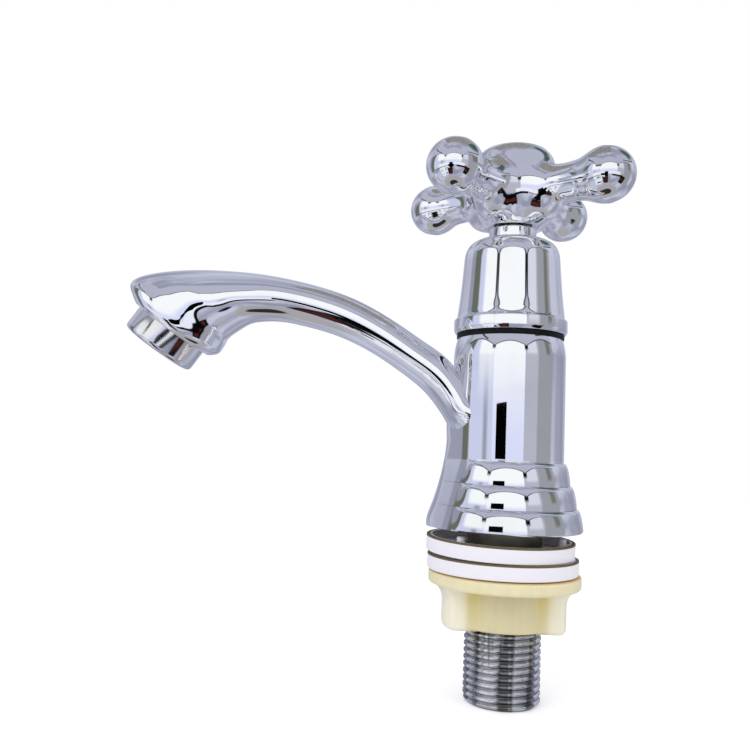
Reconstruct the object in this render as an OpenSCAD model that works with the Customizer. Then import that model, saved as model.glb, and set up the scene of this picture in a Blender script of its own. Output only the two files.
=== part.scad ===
// Basin pillar tap: a cast body with a swan-neck spout, a four-armed cross handle on a quarter-turn
// ceramic headwork, and a threaded tail with two washers and a winged back nut.
// Millimetres. The origin is the centre of the foot's seat, +Z is up and the spout points to -Y.

/* [Pillar] */
// Radius of the pillar's straight part
pillar_r = 15.6; // [14.8:0.1:17]
// Height of the pillar, from its seat to the joint under the bonnet
pillar_h = 52.6; // [51:0.1:56]
// Length of the soft taper below the pillar's top
pillar_taper_h = 5.6; // [4:0.1:12]
// How far the pillar draws in over that taper
pillar_taper = 0.7; // [0.2:0.1:1.2]
// Radius of the foot at its seat
foot_r = 21.1; // [20.6:0.1:24]
// Height of the flared foot
flare_h = 18.6; // [16:0.1:21]
// Number of stepped rings on the flare
flare_rings = 3; // [2:1:4]
// Roundness of each ring, where 2 is a parabola
ring_bulge = 1.6; // [1.3:0.1:3]
// Radius of the hollow in the foot's underside
hollow_r = 19.2; // [18.8:0.1:19.6]
// Radius of the hollow at its roof
hollow_roof_r = 14.2; // [12:0.1:14.6]
// Depth of that hollow
hollow_h = 8; // [6:0.1:10]
// How far the spout's root stands out of the pillar's front, above the flare
root_swell = 1.3; // [0.8:0.1:1.8]
// How far the root stands out of the foot's front, at the seat
foot_swell = 0.9; // [0.3:0.1:1.2]

/* [Spout] */
// Distance from the pillar's axis to the middle of the spout's mouth
mouth_reach = 96.8; // [86:0.1:110]
// Height of the middle of the mouth above the seat
mouth_z = 52.3; // [50:0.1:60]
// Lean of the mouth's axis from straight down, towards the front
mouth_lean = 34.5; // [25:0.5:40]
// Length of the mouth's flat face, from its front lip to its heel
mouth_length = 24.6; // [23.6:0.1:30]
// Width of the spout just behind that face
mouth_width = 27.4; // [26:0.1:31]
// Height of the spout's back at its highest point
crown_z = 69.4; // [67:0.1:78]
// Depth of the neck where it is slimmest
neck_depth = 11.6; // [10.5:0.1:13]
// Width of the neck where it is slimmest
neck_width = 13.4; // [12:0.1:16]
// Thickness of the spout's cast wall
spout_wall = 2.4; // [2:0.1:3]
// Squareness of the spout's section, where 2 is an ellipse
spout_square = 2.15; // [2:0.05:2.6]

/* [Bonnet] */
// Height of the bonnet above the gasket
bonnet_h = 27.3; // [26.5:0.1:30]
// Radius of the lip at the bonnet's foot
bonnet_lip_r = 15.9; // [15.2:0.1:17]
// Height of that lip
bonnet_lip_h = 4; // [3:0.1:5]
// Radius of the bonnet just above the lip
bonnet_waist_r = 15.05; // [14.6:0.05:16]
// Radius of the bonnet below its shoulder
bonnet_top_r = 13.5; // [13:0.1:15]
// Thickness of the bonnet's wall
bonnet_wall = 1.3; // [1:0.1:1.5]
// Thickness of the black gasket under the bonnet
gasket_h = 1.4; // [1:0.1:2]
// Radius of the gasket
gasket_r = 15.05; // [14:0.05:15.4]
// Radius of the ring that holds the bonnet down
bonnet_ring_r = 6.7; // [6.4:0.1:8]
// Height of that ring
bonnet_ring_h = 3.1; // [2.4:0.1:4]

/* [Handle] */
// Angle of the first arm from +X when the tap is closed
handle_rest = 49.4; // [0:0.1:90]
// Number of arms
arm_count = 4; // [3:1:5]
// Distance from the axis to the middle of a ball
arm_reach = 28.8; // [26:0.1:34]
// Radius of a ball
ball_r = 7.45; // [6.6:0.05:8.4]
// Height of the arms above the hub's foot
arm_lift = 10.4; // [9.5:0.1:12]
// Radius of an arm at its slimmest
arm_r = 5.4; // [4.6:0.1:6]
// Radius of an arm at the hub
arm_root_r = 7.4; // [6.6:0.1:8]
// Height of the hub from its foot to the top of its dome
hub_h = 23.4; // [22.6:0.1:27]
// Radius of the hub under its dome
hub_r = 11; // [10:0.1:13]
// Radius of the round between the hub's side and its flat crown
dome_round = 5.5; // [4.5:0.1:6.5]
// Radius of the hub's foot
hub_foot_r = 6.7; // [6.4:0.1:8]
// Gap between the hub and the ring below it
hub_gap = 0.45; // [0.3:0.05:1]
// Radius of the button in the hub's dome
cap_r = 5.6; // [5:0.1:6.4]

/* [Headwork] */
// Radius of the bore that takes the headwork
chamber_r = 10.4; // [10.2:0.1:10.8]
// Height of the headwork's seat above the foot
seat_z = 22; // [20:0.1:23]
// Radius of the inlet through the seat
inlet_r = 5.2; // [4:0.1:5.6]
// Radius of the headwork below its thread
headwork_r = 8.9; // [8.8:0.05:9.2]
// Length of the headwork's thread
headwork_thread_h = 11; // [8:0.1:12]
// Width of the hexagon across its flats
hex_flats = 22; // [20:0.1:22.6]
// Height of the hexagon
hex_h = 6; // [4:0.1:7]
// Radius of the neck that the spindle comes out of
neck_r = 5.3; // [5.2:0.05:5.6]
// Radius of the spindle
spindle_r = 4; // [3.6:0.05:4.05]
// Radius of the spindle's collar
collar_r = 6; // [5.6:0.1:6.1]
// Radius of the ceramic discs
disc_r = 7.9; // [7.6:0.05:8]
// Thickness of the ceramic discs
disc_h = 3.4; // [3:0.1:3.8]
// Thickness of the rubber under the fixed disc
seat_seal_h = 2.5; // [2:0.1:3]
// Width of the bar that turns the moving disc
drive_bar = 5.6; // [4.6:0.1:6]
// Quarter turn that the handle makes from shut to open
handle_turn = 90; // [80:1:100]
// Number of teeth on the spindle's head
spline_teeth = 20; // [16:1:24]
// Thickness of the wire of an O-ring
oring_d = 1.56; // [1.4:0.02:1.7]

/* [Outlet] */
// Radius of the aerator's collar
collar_outer_r = 11; // [10.6:0.1:11.6]
// How far that collar stands out of the mouth
collar_h = 7; // [5:0.1:10]
// Radius of the round on the collar's lower edge
collar_round = 1.5; // [0.8:0.1:2]
// Radius of the aerator's threaded end
aerator_thread_r = 9.9; // [9.6:0.1:10.2]
// Length of that thread
aerator_thread_h = 5.4; // [4:0.1:6]
// Thickness of the aerator's wall
aerator_wall = 1.3; // [1:0.1:1.6]
// Spacing of the strainer's holes
strainer_pitch = 2.6; // [2.3:0.1:3.2]
// Radius of the strainer's holes
strainer_hole_r = 0.75; // [0.5:0.05:0.9]
// Rings of holes around the middle one
strainer_rings = 2; // [1:1:2]

/* [Tail] */
// Radius over the thread of the tail, a G1/2 thread
shank_r = 10.478; // [10.3:0.001:10.6]
// Pitch of that thread
thread_pitch = 1.814; // [1.5:0.001:2]
// Depth of that thread
thread_depth = 1.162; // [0.9:0.001:1.3]
// Radius of the tail's bore
shank_bore_r = 6.6; // [6:0.1:7.4]
// Length of the tail below the foot's seat
shank_drop = 46.6; // [42:0.1:60]
// How far the tail is screwed into the body
shank_grip = 6.8; // [5:0.1:7]
// Thickness of the seal at the tail's top
shank_seal_h = 1.2; // [0.8:0.1:1.6]
// Radius of the upper washer
upper_washer_r = 20.4; // [20:0.1:20.8]
// Height of the upper washer
upper_washer_h = 4.2; // [3.6:0.1:4.6]
// Gap between the foot and the middle of the upper washer
upper_washer_gap = 2.6; // [2.56:0.02:3.6]
// Tilt of the upper washer on the lower one
upper_washer_tilt = 1.4; // [0.4:0.1:1.6]
// How far the upper washer lies off the axis
upper_washer_shift = 1.3; // [0:0.1:1.4]
// Number of nibs that centre the upper washer in the foot
nib_count = 3; // [3:1:4]
// Radius of a nib
nib_r = 1.1; // [0.9:0.1:1.3]
// How far a nib stands above the upper washer
nib_h = 1.1; // [0.6:0.1:1.6]
// Radius of the lower washer
lower_washer_r = 20.7; // [20:0.1:21]
// Height of the lower washer
lower_washer_h = 4.1; // [3.6:0.1:4.6]
// How far the lower washer lies off the axis
lower_washer_shift = 0.6; // [0:0.1:1.2]
// Radius of the washers' holes
washer_hole_r = 12.4; // [12.2:0.1:13]
// Thickness of the washers' rims
washer_rim = 1.7; // [1.2:0.1:2]
// Thickness of the washers' floors
washer_floor = 1.4; // [1:0.1:1.8]
// Radius of the nut's flange
nut_flange_r = 20.8; // [20:0.1:21.4]
// Height of the nut's flange
nut_flange_h = 3.4; // [2.6:0.1:4]
// Height of the whole nut
nut_h = 16.2; // [14:0.1:18]
// Radius of the nut's hub
nut_hub_r = 12.9; // [12.4:0.1:14]
// Distance from the axis to the end of a wing
wing_r = 16.9; // [16:0.1:18.4]
// Width of a wing
wing_width = 17; // [12:0.1:18]
// How far the wings stop short of the nut's lower face
wing_short = 1; // [0.4:0.1:2]
// Radius of the rounds on the wings
wing_round = 3.4; // [1.5:0.1:3.5]

/* [Fits] */
// Radial gap in a thread
thread_gap = 0.05; // [0.03:0.01:0.09]
// Radial gap of a turning fit
run_gap = 0.06; // [0.03:0.01:0.09]
// Gap between faces that slide on each other
face_gap = 0.05; // [0.02:0.01:0.1]
// Gap between pieces that lie loosely on each other
rest_gap = 0.25; // [0.1:0.05:0.3]

/* [Hidden] */

$fn = 96;
// A length that lets a cut run past a face
past = 1;

// Heights that several pieces share
bonnet_z = pillar_h + gasket_h;
bonnet_top_z = bonnet_z + bonnet_h;
bonnet_ring_top_z = bonnet_top_z + bonnet_ring_h;
hub_z = bonnet_ring_top_z + hub_gap;
arm_z = hub_z + arm_lift;
hub_top_z = hub_z + hub_h;
dome_z = hub_top_z - 0.15 - dome_round;

// Tail: its socket in the body and its seal
socket_top_z = hollow_h + shank_grip + shank_seal_h;
shank_top_z = hollow_h + shank_grip;
relief_h = thread_pitch * 0.66;
washer_stack_gap = upper_washer_r * sin(upper_washer_tilt) + rest_gap / 4;
upper_washer_top_z = -upper_washer_gap;
lower_washer_top_z = upper_washer_top_z - upper_washer_h - washer_stack_gap;
nut_top_z = lower_washer_top_z - lower_washer_h - rest_gap;
nut_bottom_z = nut_top_z - nut_h;
relief_top_z = nut_bottom_z + relief_h;

// Headwork: the stack of discs from the seat up
fixed_disc_z = seat_z + seat_seal_h;
moving_disc_z = fixed_disc_z + disc_h;
drive_z = moving_disc_z + disc_h;
drive_slot_h = 1.3;
drive_bar_h = 4.2;
pocket_r = disc_r + run_gap;
pocket_top_z = drive_z + drive_bar_h + 0.6;
waist_bore_r = collar_r + run_gap;
collar_top_z = pillar_h + 6.6;
collar_h_z = 5;
thrust_h = 0.7;
step_z = collar_top_z + thrust_h + 2 * face_gap;
headwork_seal_h = 0.9;
flange_h = 1.5;
hex_z = pillar_h + headwork_seal_h + flange_h;
neck_top_z = bonnet_ring_top_z - 1.4;
clip_h = 0.8;
clip_z = neck_top_z + face_gap;
spline_z = hub_z + 1.4;
spline_h = 10.5;
spindle_top_z = spline_z + spline_h;
oring_z = [step_z + 5, step_z + 9.5];
oring_mid_r = spindle_r + run_gap - 0.02 - oring_d / 2;
groove_r = oring_mid_r - oring_d / 2 - 0.02;
groove_h = oring_d + 0.3;

// Handle: what the hub holds
insert_r = 5.3;
insert_z = hub_z + 0.6;
insert_top_z = spindle_top_z + 0.4;
web_h = 2.2;
screw_seat_z = insert_top_z + web_h;
screw_head_r = 3.6;
screw_head_h = 2.4;
screw_r = 1.9;
screw_length = 11;
cap_z = screw_seat_z + screw_head_h + 1.2;
cap_rim = 0.9;

// Outlet: lengths along the mouth's axis, counted out of the mouth
aerator_washer_h = 1.6;
socket_depth = aerator_thread_h + aerator_washer_h;
insert_h = 3;
insert_recess = 1.1;
insert_plate_r = aerator_thread_r - aerator_wall - face_gap;

// Points on a quadratic curve from a to c, drawn towards b
function curve(a, b, c, steps) =
    [for (i = [0:steps]) let (t = i / steps) a * (1 - t) * (1 - t) + 2 * b * t * (1 - t) + c * t * t];

// Points on an arc about [x, y]
function arc(x, y, r, from, to, steps) =
    [for (i = [0:steps]) let (t = from + (to - from) * i / steps) [x + r * cos(t), y + r * sin(t)]];

// A ring of rectangular section
module ring(outer, inner, low, high) {
    rotate_extrude()
        translate([inner, low])
            square([outer - inner, high - low]);
}

// A slice of the space round the axis, from one angle to another, for cutting sectors
module sector(reach, from, to, low, high) {
    steps = 6;
    far = reach * 1.3;
    translate([0, 0, low])
        linear_extrude(high - low)
            polygon(concat([[0, 0]],
                [for (i = [0:steps]) let (t = from + (to - from) * i / steps) far * [cos(t), sin(t)]]));
}

// Radius of the flare at a height, from the foot to the pillar
flare_step = (foot_r - pillar_r) / flare_rings;
ring_h = flare_h / flare_rings;
function ring_outline(k, steps) = [for (i = [0:steps])
    let (u = i / steps)
    [foot_r - flare_step * k - flare_step * pow(u, ring_bulge), ring_h * (k + u)]];
function taper_outline(steps) = [for (i = [0:steps])
    let (u = i / steps)
    [pillar_r - pillar_taper * pow(u, 1.5), pillar_h - pillar_taper_h * (1 - u)]];

module pillar_solid() {
    seat_edge = 0.3;
    rotate_extrude()
        polygon(concat([[0, 0], [foot_r - seat_edge, 0]],
            [for (k = [0:flare_rings - 1]) for (p = ring_outline(k, 7)) [p[0], max(p[1], seat_edge)]],
            taper_outline(6), [[0, pillar_h]]));
}

// The spout's stations, from the mouth to its root in the pillar. Each gives the point on its back,
// the point on its underside and its width.
mouth_along = [cos(mouth_lean), -sin(mouth_lean)];
mouth_mid = [-mouth_reach, mouth_z];
mouth_axis = [-sin(mouth_lean), -cos(mouth_lean)];
// A point behind the mouth's face: a way along the face towards the heel, and a depth behind it
function rim(along, depth) = mouth_mid + mouth_along * along - mouth_axis * depth;
half_mouth = mouth_length / 2;
back_run = mouth_reach - pillar_r;
crotch_z = pillar_h - 6.8;
// A point on the back or underside: a share of the way out from the pillar, and a share of the drop
// from the crown to the crotch
crown_drop = crown_z - crotch_z;
function back(share, drop) = [-(pillar_r + back_run * share), crown_z - crown_drop * drop];
// A level section of the root, down the pillar's front, from its reach there and its height
root_front = pillar_r + root_swell;
foot_front = foot_r + foot_swell;
function root_row(front, z) = [[front * 0.83, z], [-front, z], front * 1.5];
stations = [
    [rim(-half_mouth, 0), rim(half_mouth, 0), mouth_width - 1.8],
    [rim(-half_mouth - 1.8, 1), rim(half_mouth + 1.3, 1.1), mouth_width - 0.4],
    [rim(-half_mouth - 4.1, 2.6), rim(half_mouth + 2.3, 2.6), mouth_width],
    [rim(-half_mouth - 4.6, 4.5), rim(half_mouth + 2.2, 5.2), mouth_width - 0.1],
    [back(1.094, 0.09), rim(half_mouth + 1.9, 7.7), mouth_width - 0.6],
    [back(1.01, 0.034), back(0.757, 0.678), mouth_width - 2],
    [back(0.906, 0), back(0.723, 0.608), mouth_width - 5],
    [back(0.792, 0), back(0.678, 0.583), mouth_width - 8.4],
    [back(0.678, 0.023), back(0.624, 0.578), neck_width + 2.6],
    [back(0.53, 0.106), back(0.554, 0.61), neck_width + 0.8],
    [back(0.371, 0.258), back(0.423, 0.258) + neck_depth * [0, -0.933], neck_width],
    [back(0.233, 0.494), back(0.233, 0.494) + neck_depth * [-0.5, -0.805], neck_width + 0.3],
    [back(0.114, 0.758), back(0.114, 0.758) + neck_depth * [-0.6, -0.715], neck_width + 1.6],
    [back(0.02, 0.972), back(0.02, 0.972) + neck_depth * [-0.59, -0.763], neck_width + 3.6],
    [[-pillar_r, crotch_z] + neck_depth * [0.345, -0.56], [-pillar_r, crotch_z] - neck_depth * [0.302, 1.224],
        neck_width * 1.343],
    [[-pillar_r, crotch_z] + neck_depth * [1.035, -1.12], [-pillar_r, crotch_z] - neck_depth * [0.155, 1.603],
        neck_width * 1.627],
    root_row(root_front, flare_h * 1.237),
    root_row(root_front + 0.7, flare_h - 0.6),
    root_row(root_front + (foot_front - root_front) * 0.38, flare_h * 0.66),
    root_row(root_front + (foot_front - root_front) * 0.67, flare_h * 0.36),
    root_row(root_front + (foot_front - root_front) * 0.87, flare_h * 0.21),
    root_row(foot_front - 0.1, flare_h * 0.1),
    root_row(foot_front, 0)
];
// Values between stations, on a smooth curve through them
function spline(a, b, c, d, t) =
    b + t / 2 * (c - a + t * (2 * a - 5 * b + 4 * c - d + t * (3 * (b - c) + d - a)));
function station(i) = stations[max(0, min(len(stations) - 1, i))];
function between(i, t, k) =
    spline(station(i - 1)[k], station(i)[k], station(i + 1)[k], station(i + 2)[k], t);
spans = len(stations) - 1;
ring_steps = 2;
loft_rows = [for (i = [0:spans * ring_steps])
    let (span = min(floor(i / ring_steps), spans - 1), t = i / ring_steps - span)
    [for (k = [0:2]) between(span, t, k)]];

// Signed power, which squares an ellipse's corners
function soft(v) = sign(v) * pow(abs(v), 2 / spout_square);
// One closed section of the spout, drawn in by a wall
function section_points(row, wall, sides) =
    let (mid = (row[0] + row[1]) / 2,
        up = (row[0] - row[1]) / norm(row[0] - row[1]),
        depth = norm(row[0] - row[1]) / 2 - wall,
        half = row[2] / 2 - wall)
    [for (j = [0:sides - 1])
        let (a = 360 * (j + 0.5) / sides, v = depth * soft(sin(a)))
        [half * soft(cos(a)), mid[0] + up[0] * v, mid[1] + up[1] * v]];

// A closed solid through a list of sections that have the same number of sides
module loft(rows, wall, sides) {
    count = len(rows);
    points = [for (row = rows) each section_points(row, wall, sides)];
    last = (count - 1) * sides;
    polyhedron(points, concat(
        [for (j = [1:sides - 2]) [0, j + 1, j]],
        [for (i = [0:count - 2]) for (j = [0:sides - 1])
            let (k = (j + 1) % sides, low = i * sides, high = low + sides)
            each [[low + j, high + k, high + j], [low + j, low + k, high + k]]],
        [for (j = [1:sides - 2]) [last, last + j, last + j + 1]]), convexity = 6);
}

// Puts children in the mouth's own frame: its middle at the origin and -Z out of the mouth
module at_mouth() {
    translate([0, mouth_mid[0], mouth_mid[1]])
        rotate([-mouth_lean, 0, 0])
            children();
}

module spout_way() {
    first = 8;
    rows = [for (i = [first:ring_steps * 15 - 1]) loft_rows[i]];
    loft(rows, spout_wall, 16);
}

module tap_body() {
    color([0.80, 0.81, 0.85])
        difference() {
            union() {
                pillar_solid();
                loft(loft_rows, 0, 28);
            }
            spout_way();
            at_mouth() {
                translate([0, 0, -past])
                    cylinder(r = aerator_thread_r + thread_gap, h = socket_depth + past);
                cylinder(r = aerator_thread_r - spout_wall, h = socket_depth + spout_wall * 2.08);
            }
            translate([0, 0, seat_z])
                cylinder(r = chamber_r, h = pillar_h);
            translate([0, 0, hollow_h])
                cylinder(r = inlet_r, h = seat_z);
            rotate_extrude()
                polygon([[0, -past], [hollow_r, -past], [hollow_r, hollow_h / 2],
                    [hollow_roof_r, hollow_h], [0, hollow_h]]);
            translate([0, 0, hollow_h - past])
                cylinder(r = shank_r + thread_gap, h = socket_top_z - hollow_h + past);
        }
}

module shank() {
    chamfer = 1;
    relief_r = shank_r - thread_depth;
    color([0.55, 0.56, 0.58])
        rotate_extrude()
            polygon([[shank_bore_r, -shank_drop], [shank_r - chamfer, -shank_drop],
                [shank_r, -shank_drop + chamfer], [shank_r, relief_top_z - relief_h],
                [relief_r, relief_top_z - relief_h], [relief_r, relief_top_z],
                [shank_r, relief_top_z], [shank_r, shank_top_z - chamfer / 2],
                [shank_r - chamfer / 2, shank_top_z], [shank_bore_r, shank_top_z]]);
}

module shank_seal() {
    color([0.15, 0.15, 0.15])
        ring(shank_r - 0.4, shank_bore_r, shank_top_z, socket_top_z);
}

module bonnet_gasket() {
    round_r = gasket_h / 4;
    flange_r = hex_flats / 2 + 1.2;
    color([0.06, 0.06, 0.06])
        rotate_extrude()
            polygon(concat([[flange_r + 0.3, pillar_h]],
                arc(gasket_r - round_r, pillar_h + round_r, round_r, -90, 0, 4),
                arc(gasket_r - round_r, bonnet_z - round_r, round_r, 0, 90, 4),
                [[flange_r + 0.3, bonnet_z]]));
}

// The bonnet's outline from its foot to its crown, drawn in by a wall
function bonnet_outline(wall) =
    let (foot = [bonnet_lip_r - 0.5 - wall, bonnet_z],
        lip_top = bonnet_z + bonnet_lip_h,
        waist_z = lip_top + 1,
        shoulder_z = bonnet_top_z - 6.4)
    concat([foot],
        curve([bonnet_lip_r - 0.1 - wall, bonnet_z + 0.5], [bonnet_lip_r - wall, bonnet_z + 0.8],
            [bonnet_lip_r - wall, bonnet_z + 1.4], 3),
        curve([bonnet_lip_r - 0.05 - wall, lip_top - 1.6], [bonnet_lip_r - 0.15 - wall, lip_top - 0.1],
            [bonnet_waist_r + 0.25 - wall, lip_top + 0.25], 5),
        curve([bonnet_waist_r - wall, waist_z], [bonnet_top_r + 0.5 - wall, (waist_z + shoulder_z) / 2],
            [bonnet_top_r - wall, shoulder_z], 8),
        curve([bonnet_top_r - 0.02 - wall, shoulder_z + 0.4],
            [bonnet_top_r - 0.3 - wall, bonnet_top_z - 0.6 - wall],
            [bonnet_top_r - 5 - wall / 2, bonnet_top_z - 0.15 - wall], 8));

module bonnet_cover() {
    hole = neck_r + 0.2;
    flipped = bonnet_outline(bonnet_wall);
    color([0.80, 0.81, 0.85])
        rotate_extrude()
            polygon(concat(bonnet_outline(0), [[hole, bonnet_top_z], [hole, bonnet_top_z - bonnet_wall]],
                [for (i = [len(flipped) - 1:-1:0]) flipped[i]]));
}

module bonnet_ring() {
    edge = 0.35;
    color([0.80, 0.81, 0.85])
        rotate_extrude()
            polygon(concat([[neck_r + thread_gap, bonnet_top_z]],
                arc(bonnet_ring_r - edge, bonnet_top_z + edge, edge, -90, 0, 3),
                arc(bonnet_ring_r - edge, bonnet_ring_top_z - edge, edge, 0, 90, 3),
                [[neck_r + thread_gap, bonnet_ring_top_z]]));
}

// Angles of the spindle's stop lug and of the stop in the headwork, with a degree to spare each way
stop_spare = 1;
lug_angle = 100;
stop_angle = 360 - handle_turn - lug_angle - 2 * stop_spare;
stop_z = pillar_h - 10;
stop_h = 4;
lug_r = collar_r - 0.1;
stop_r = spindle_r + 0.9;

module headwork() {
    thread_bottom = pillar_h - headwork_thread_h;
    window_h = 5;
    window_w = 7;
    flange_r = hex_flats / 2 + 1.2;
    color([0.78, 0.62, 0.28]) {
        difference() {
            union() {
                ring(headwork_r, pocket_r, seat_z + 0.8, pocket_top_z);
                ring(headwork_r, waist_bore_r, pocket_top_z, thread_bottom);
                ring(chamber_r - thread_gap, waist_bore_r, thread_bottom, pillar_h);
                ring(flange_r, waist_bore_r, pillar_h + headwork_seal_h, hex_z);
                ring(chamber_r - thread_gap, waist_bore_r, pillar_h, pillar_h + headwork_seal_h);
                difference() {
                    translate([0, 0, hex_z])
                        cylinder(r = hex_flats / sqrt(3), h = hex_h, $fn = 6);
                    translate([0, 0, hex_z - past])
                        cylinder(r = spindle_r + run_gap, h = hex_h + 2 * past);
                    translate([0, 0, hex_z - past])
                        cylinder(r = waist_bore_r, h = step_z - hex_z + past);
                }
                rotate_extrude()
                    polygon([[spindle_r + run_gap, step_z], [neck_r + 2.6, step_z],
                        [neck_r + 2.6, hex_z + hex_h + 2], [neck_r, hex_z + hex_h + 5],
                        [neck_r, neck_top_z], [spindle_r + run_gap, neck_top_z]]);
            }
            for (side = [0, 180])
                rotate([0, 0, side])
                    translate([0, -window_w / 2, drive_z + 0.6])
                        cube([headwork_r + past, window_w, window_h]);
        }
        intersection() {
            ring(waist_bore_r, stop_r, stop_z, stop_z + stop_h);
            sector(waist_bore_r, lug_angle / 2 + handle_turn + stop_spare,
                lug_angle / 2 + handle_turn + stop_spare + stop_angle, stop_z, stop_z + stop_h);
        }
    }
}

module headwork_seal() {
    flange_r = hex_flats / 2 + 1.2;
    color([0.12, 0.12, 0.12])
        ring(flange_r - 0.2, chamber_r, pillar_h, pillar_h + headwork_seal_h);
}

module seat_seal() {
    color([0.12, 0.12, 0.12])
        ring(disc_r - 0.4, inlet_r, seat_z, fixed_disc_z);
}

// A ceramic disc with two quarter-round windows
module disc(low, turn) {
    window_from = 25;
    window_to = 115;
    difference() {
        translate([0, 0, low])
            cylinder(r = disc_r, h = disc_h);
        for (side = [0, 180])
            rotate([0, 0, side + turn])
                intersection() {
                    ring(disc_r - 2, 1.8, low - past, low + disc_h + past);
                    sector(disc_r, window_from, window_to, low - past, low + disc_h + past);
                }
    }
}

module fixed_disc() {
    color([0.93, 0.92, 0.88])
        disc(fixed_disc_z, 0);
}

module moving_disc() {
    color([0.96, 0.95, 0.92])
        difference() {
            disc(moving_disc_z + face_gap, handle_turn);
            translate([-disc_r - past, -drive_bar / 2 - face_gap, drive_z + face_gap - drive_slot_h])
                cube([2 * (disc_r + past), drive_bar + 2 * face_gap, drive_slot_h + past]);
        }
}

// The spindle's plain lengths, from the drive bar to the splines
module spindle_shaft() {
    root = spindle_r - 0.45;
    rotate_extrude()
        polygon(concat(
            [[0, drive_z + 1], [collar_r - 2.2, drive_z + 1], [collar_r - 2.2, collar_top_z - collar_h_z],
            [collar_r, collar_top_z - collar_h_z], [collar_r, collar_top_z], [spindle_r, collar_top_z]],
            [for (z = oring_z) each [[spindle_r, z - groove_h / 2], [groove_r, z - groove_h / 2],
                [groove_r, z + groove_h / 2], [spindle_r, z + groove_h / 2]]],
            [[spindle_r, clip_z - 0.03], [spindle_r - 0.8, clip_z - 0.03],
            [spindle_r - 0.8, clip_z + clip_h + 0.03], [spindle_r, clip_z + clip_h + 0.03],
            [spindle_r, spline_z - 0.6], [root, spline_z], [root, spindle_top_z], [0, spindle_top_z]]));
}

module spline_teeth_solid(radius, low, high) {
    width = 3.14159 * radius / spline_teeth;
    intersection() {
        union()
            for (i = [0:spline_teeth - 1])
                rotate([0, 0, 360 * i / spline_teeth])
                    translate([0, -width / 2, low])
                        cube([radius + past, width, high - low]);
        translate([0, 0, low])
            cylinder(r = radius, h = high - low);
    }
}

module spindle() {
    color([0.80, 0.65, 0.32])
        difference() {
            union() {
                spindle_shaft();
                spline_teeth_solid(spindle_r, spline_z, spindle_top_z);
                intersection() {
                    translate([-disc_r, -drive_bar / 2, drive_z + 2 * face_gap - drive_slot_h])
                        cube([2 * disc_r, drive_bar, drive_slot_h + drive_bar_h - 2 * face_gap]);
                    translate([0, 0, moving_disc_z])
                        cylinder(r = disc_r - 0.3, h = 2 * drive_bar_h + disc_h);
                }
                intersection() {
                    ring(lug_r, collar_r - 2.4, stop_z + 0.2, stop_z + stop_h - 0.2);
                    sector(lug_r, -lug_angle / 2, lug_angle / 2, stop_z, stop_z + stop_h);
                }
            }
            translate([0, 0, spindle_top_z - screw_length])
                cylinder(r = screw_r + thread_gap, h = screw_length + past);
        }
}

module spindle_orings() {
    color([0.08, 0.08, 0.08])
        for (z = oring_z)
            rotate_extrude()
                translate([oring_mid_r, z])
                    circle(d = oring_d, $fn = 32);
}

module spindle_clip() {
    gap_angle = 70;
    outer = neck_r - 0.35;
    color([0.6, 0.6, 0.62])
        intersection() {
            ring(outer, spindle_r - 0.75, clip_z, clip_z + clip_h);
            sector(outer, gap_angle / 2, 360 - gap_angle / 2, clip_z - past, clip_z + clip_h + past);
        }
}

module thrust_washer() {
    color([0.95, 0.95, 0.95])
        ring(collar_r - 0.1, spindle_r + 0.1, collar_top_z + face_gap, collar_top_z + face_gap + thrust_h);
}

// Radius of an arm at a distance from the axis: slim in the middle, thick at the hub and at the ball
waist_at = 17.5;
ball_from = arm_reach - 4.6;
ball_join_r = sqrt(ball_r * ball_r - (arm_reach - ball_from) * (arm_reach - ball_from));
root_at = hub_r - 2;
function arm_radius(s) = s < waist_at
    ? arm_r + (arm_root_r - arm_r) * pow((waist_at - s) / (waist_at - root_at), 2)
    : arm_r + (ball_join_r - arm_r) * pow((s - waist_at) / (ball_from - waist_at), 2);

module arm() {
    steps = 10;
    join_angle = atan2(ball_join_r, ball_from - arm_reach);
    rotate([0, 90, 0])
        rotate_extrude()
            polygon(concat([[0, 0], [arm_root_r, 0]],
                [for (i = [0:steps]) let (s = root_at + (ball_from - root_at) * i / steps) [arm_radius(s), s]],
                [for (i = [1:steps]) let (a = join_angle * (1 - i / steps))
                    [ball_r * sin(a), arm_reach + ball_r * cos(a)]]));
}

// The web under an arm: a leaning cone, trimmed to the curve that the underside follows to the hub's foot
module arm_web() {
    root = [2, -0.7 * arm_lift];
    run = [waist_at, -0.3] - root;
    reach = waist_at + 2.4;
    foot = [hub_foot_r, hub_z];
    intersection() {
        rotate_extrude()
            polygon(concat([[0, hub_z]],
                curve(foot, foot + arm_lift * [0.346, 0.048], foot + arm_lift * [0.4615, 0.1635], 4),
                curve(foot + arm_lift * [0.51, 0.202], foot + arm_lift * [0.702, 0.375],
                    [waist_at + 1, arm_z - arm_r], 4),
                [[reach, arm_z - arm_r + 0.1], [reach, arm_z], [0, arm_z]]));
        translate([root[0], 0, arm_z + root[1]])
            rotate([0, atan2(run[0], run[1]), 0])
                cylinder(r1 = arm_root_r - 0.4, r2 = arm_r - 0.2, h = norm(run));
    }
}

module hub_solid() {
    rotate_extrude()
        polygon(concat([[0, hub_z]],
            curve([hub_foot_r, hub_z], [hub_foot_r + 0.4, hub_z + 4.4], [hub_r + 0.6, arm_z - 1], 8),
            curve([hub_r + 0.9, arm_z + 2], [hub_r + 0.6, arm_z + 5], [hub_r + 0.5, dome_z - 0.6], 4),
            arc(hub_r + 0.5 - dome_round, dome_z, dome_round, 0, 86, 8),
            [[0, dome_z + dome_round]]));
}

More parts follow.
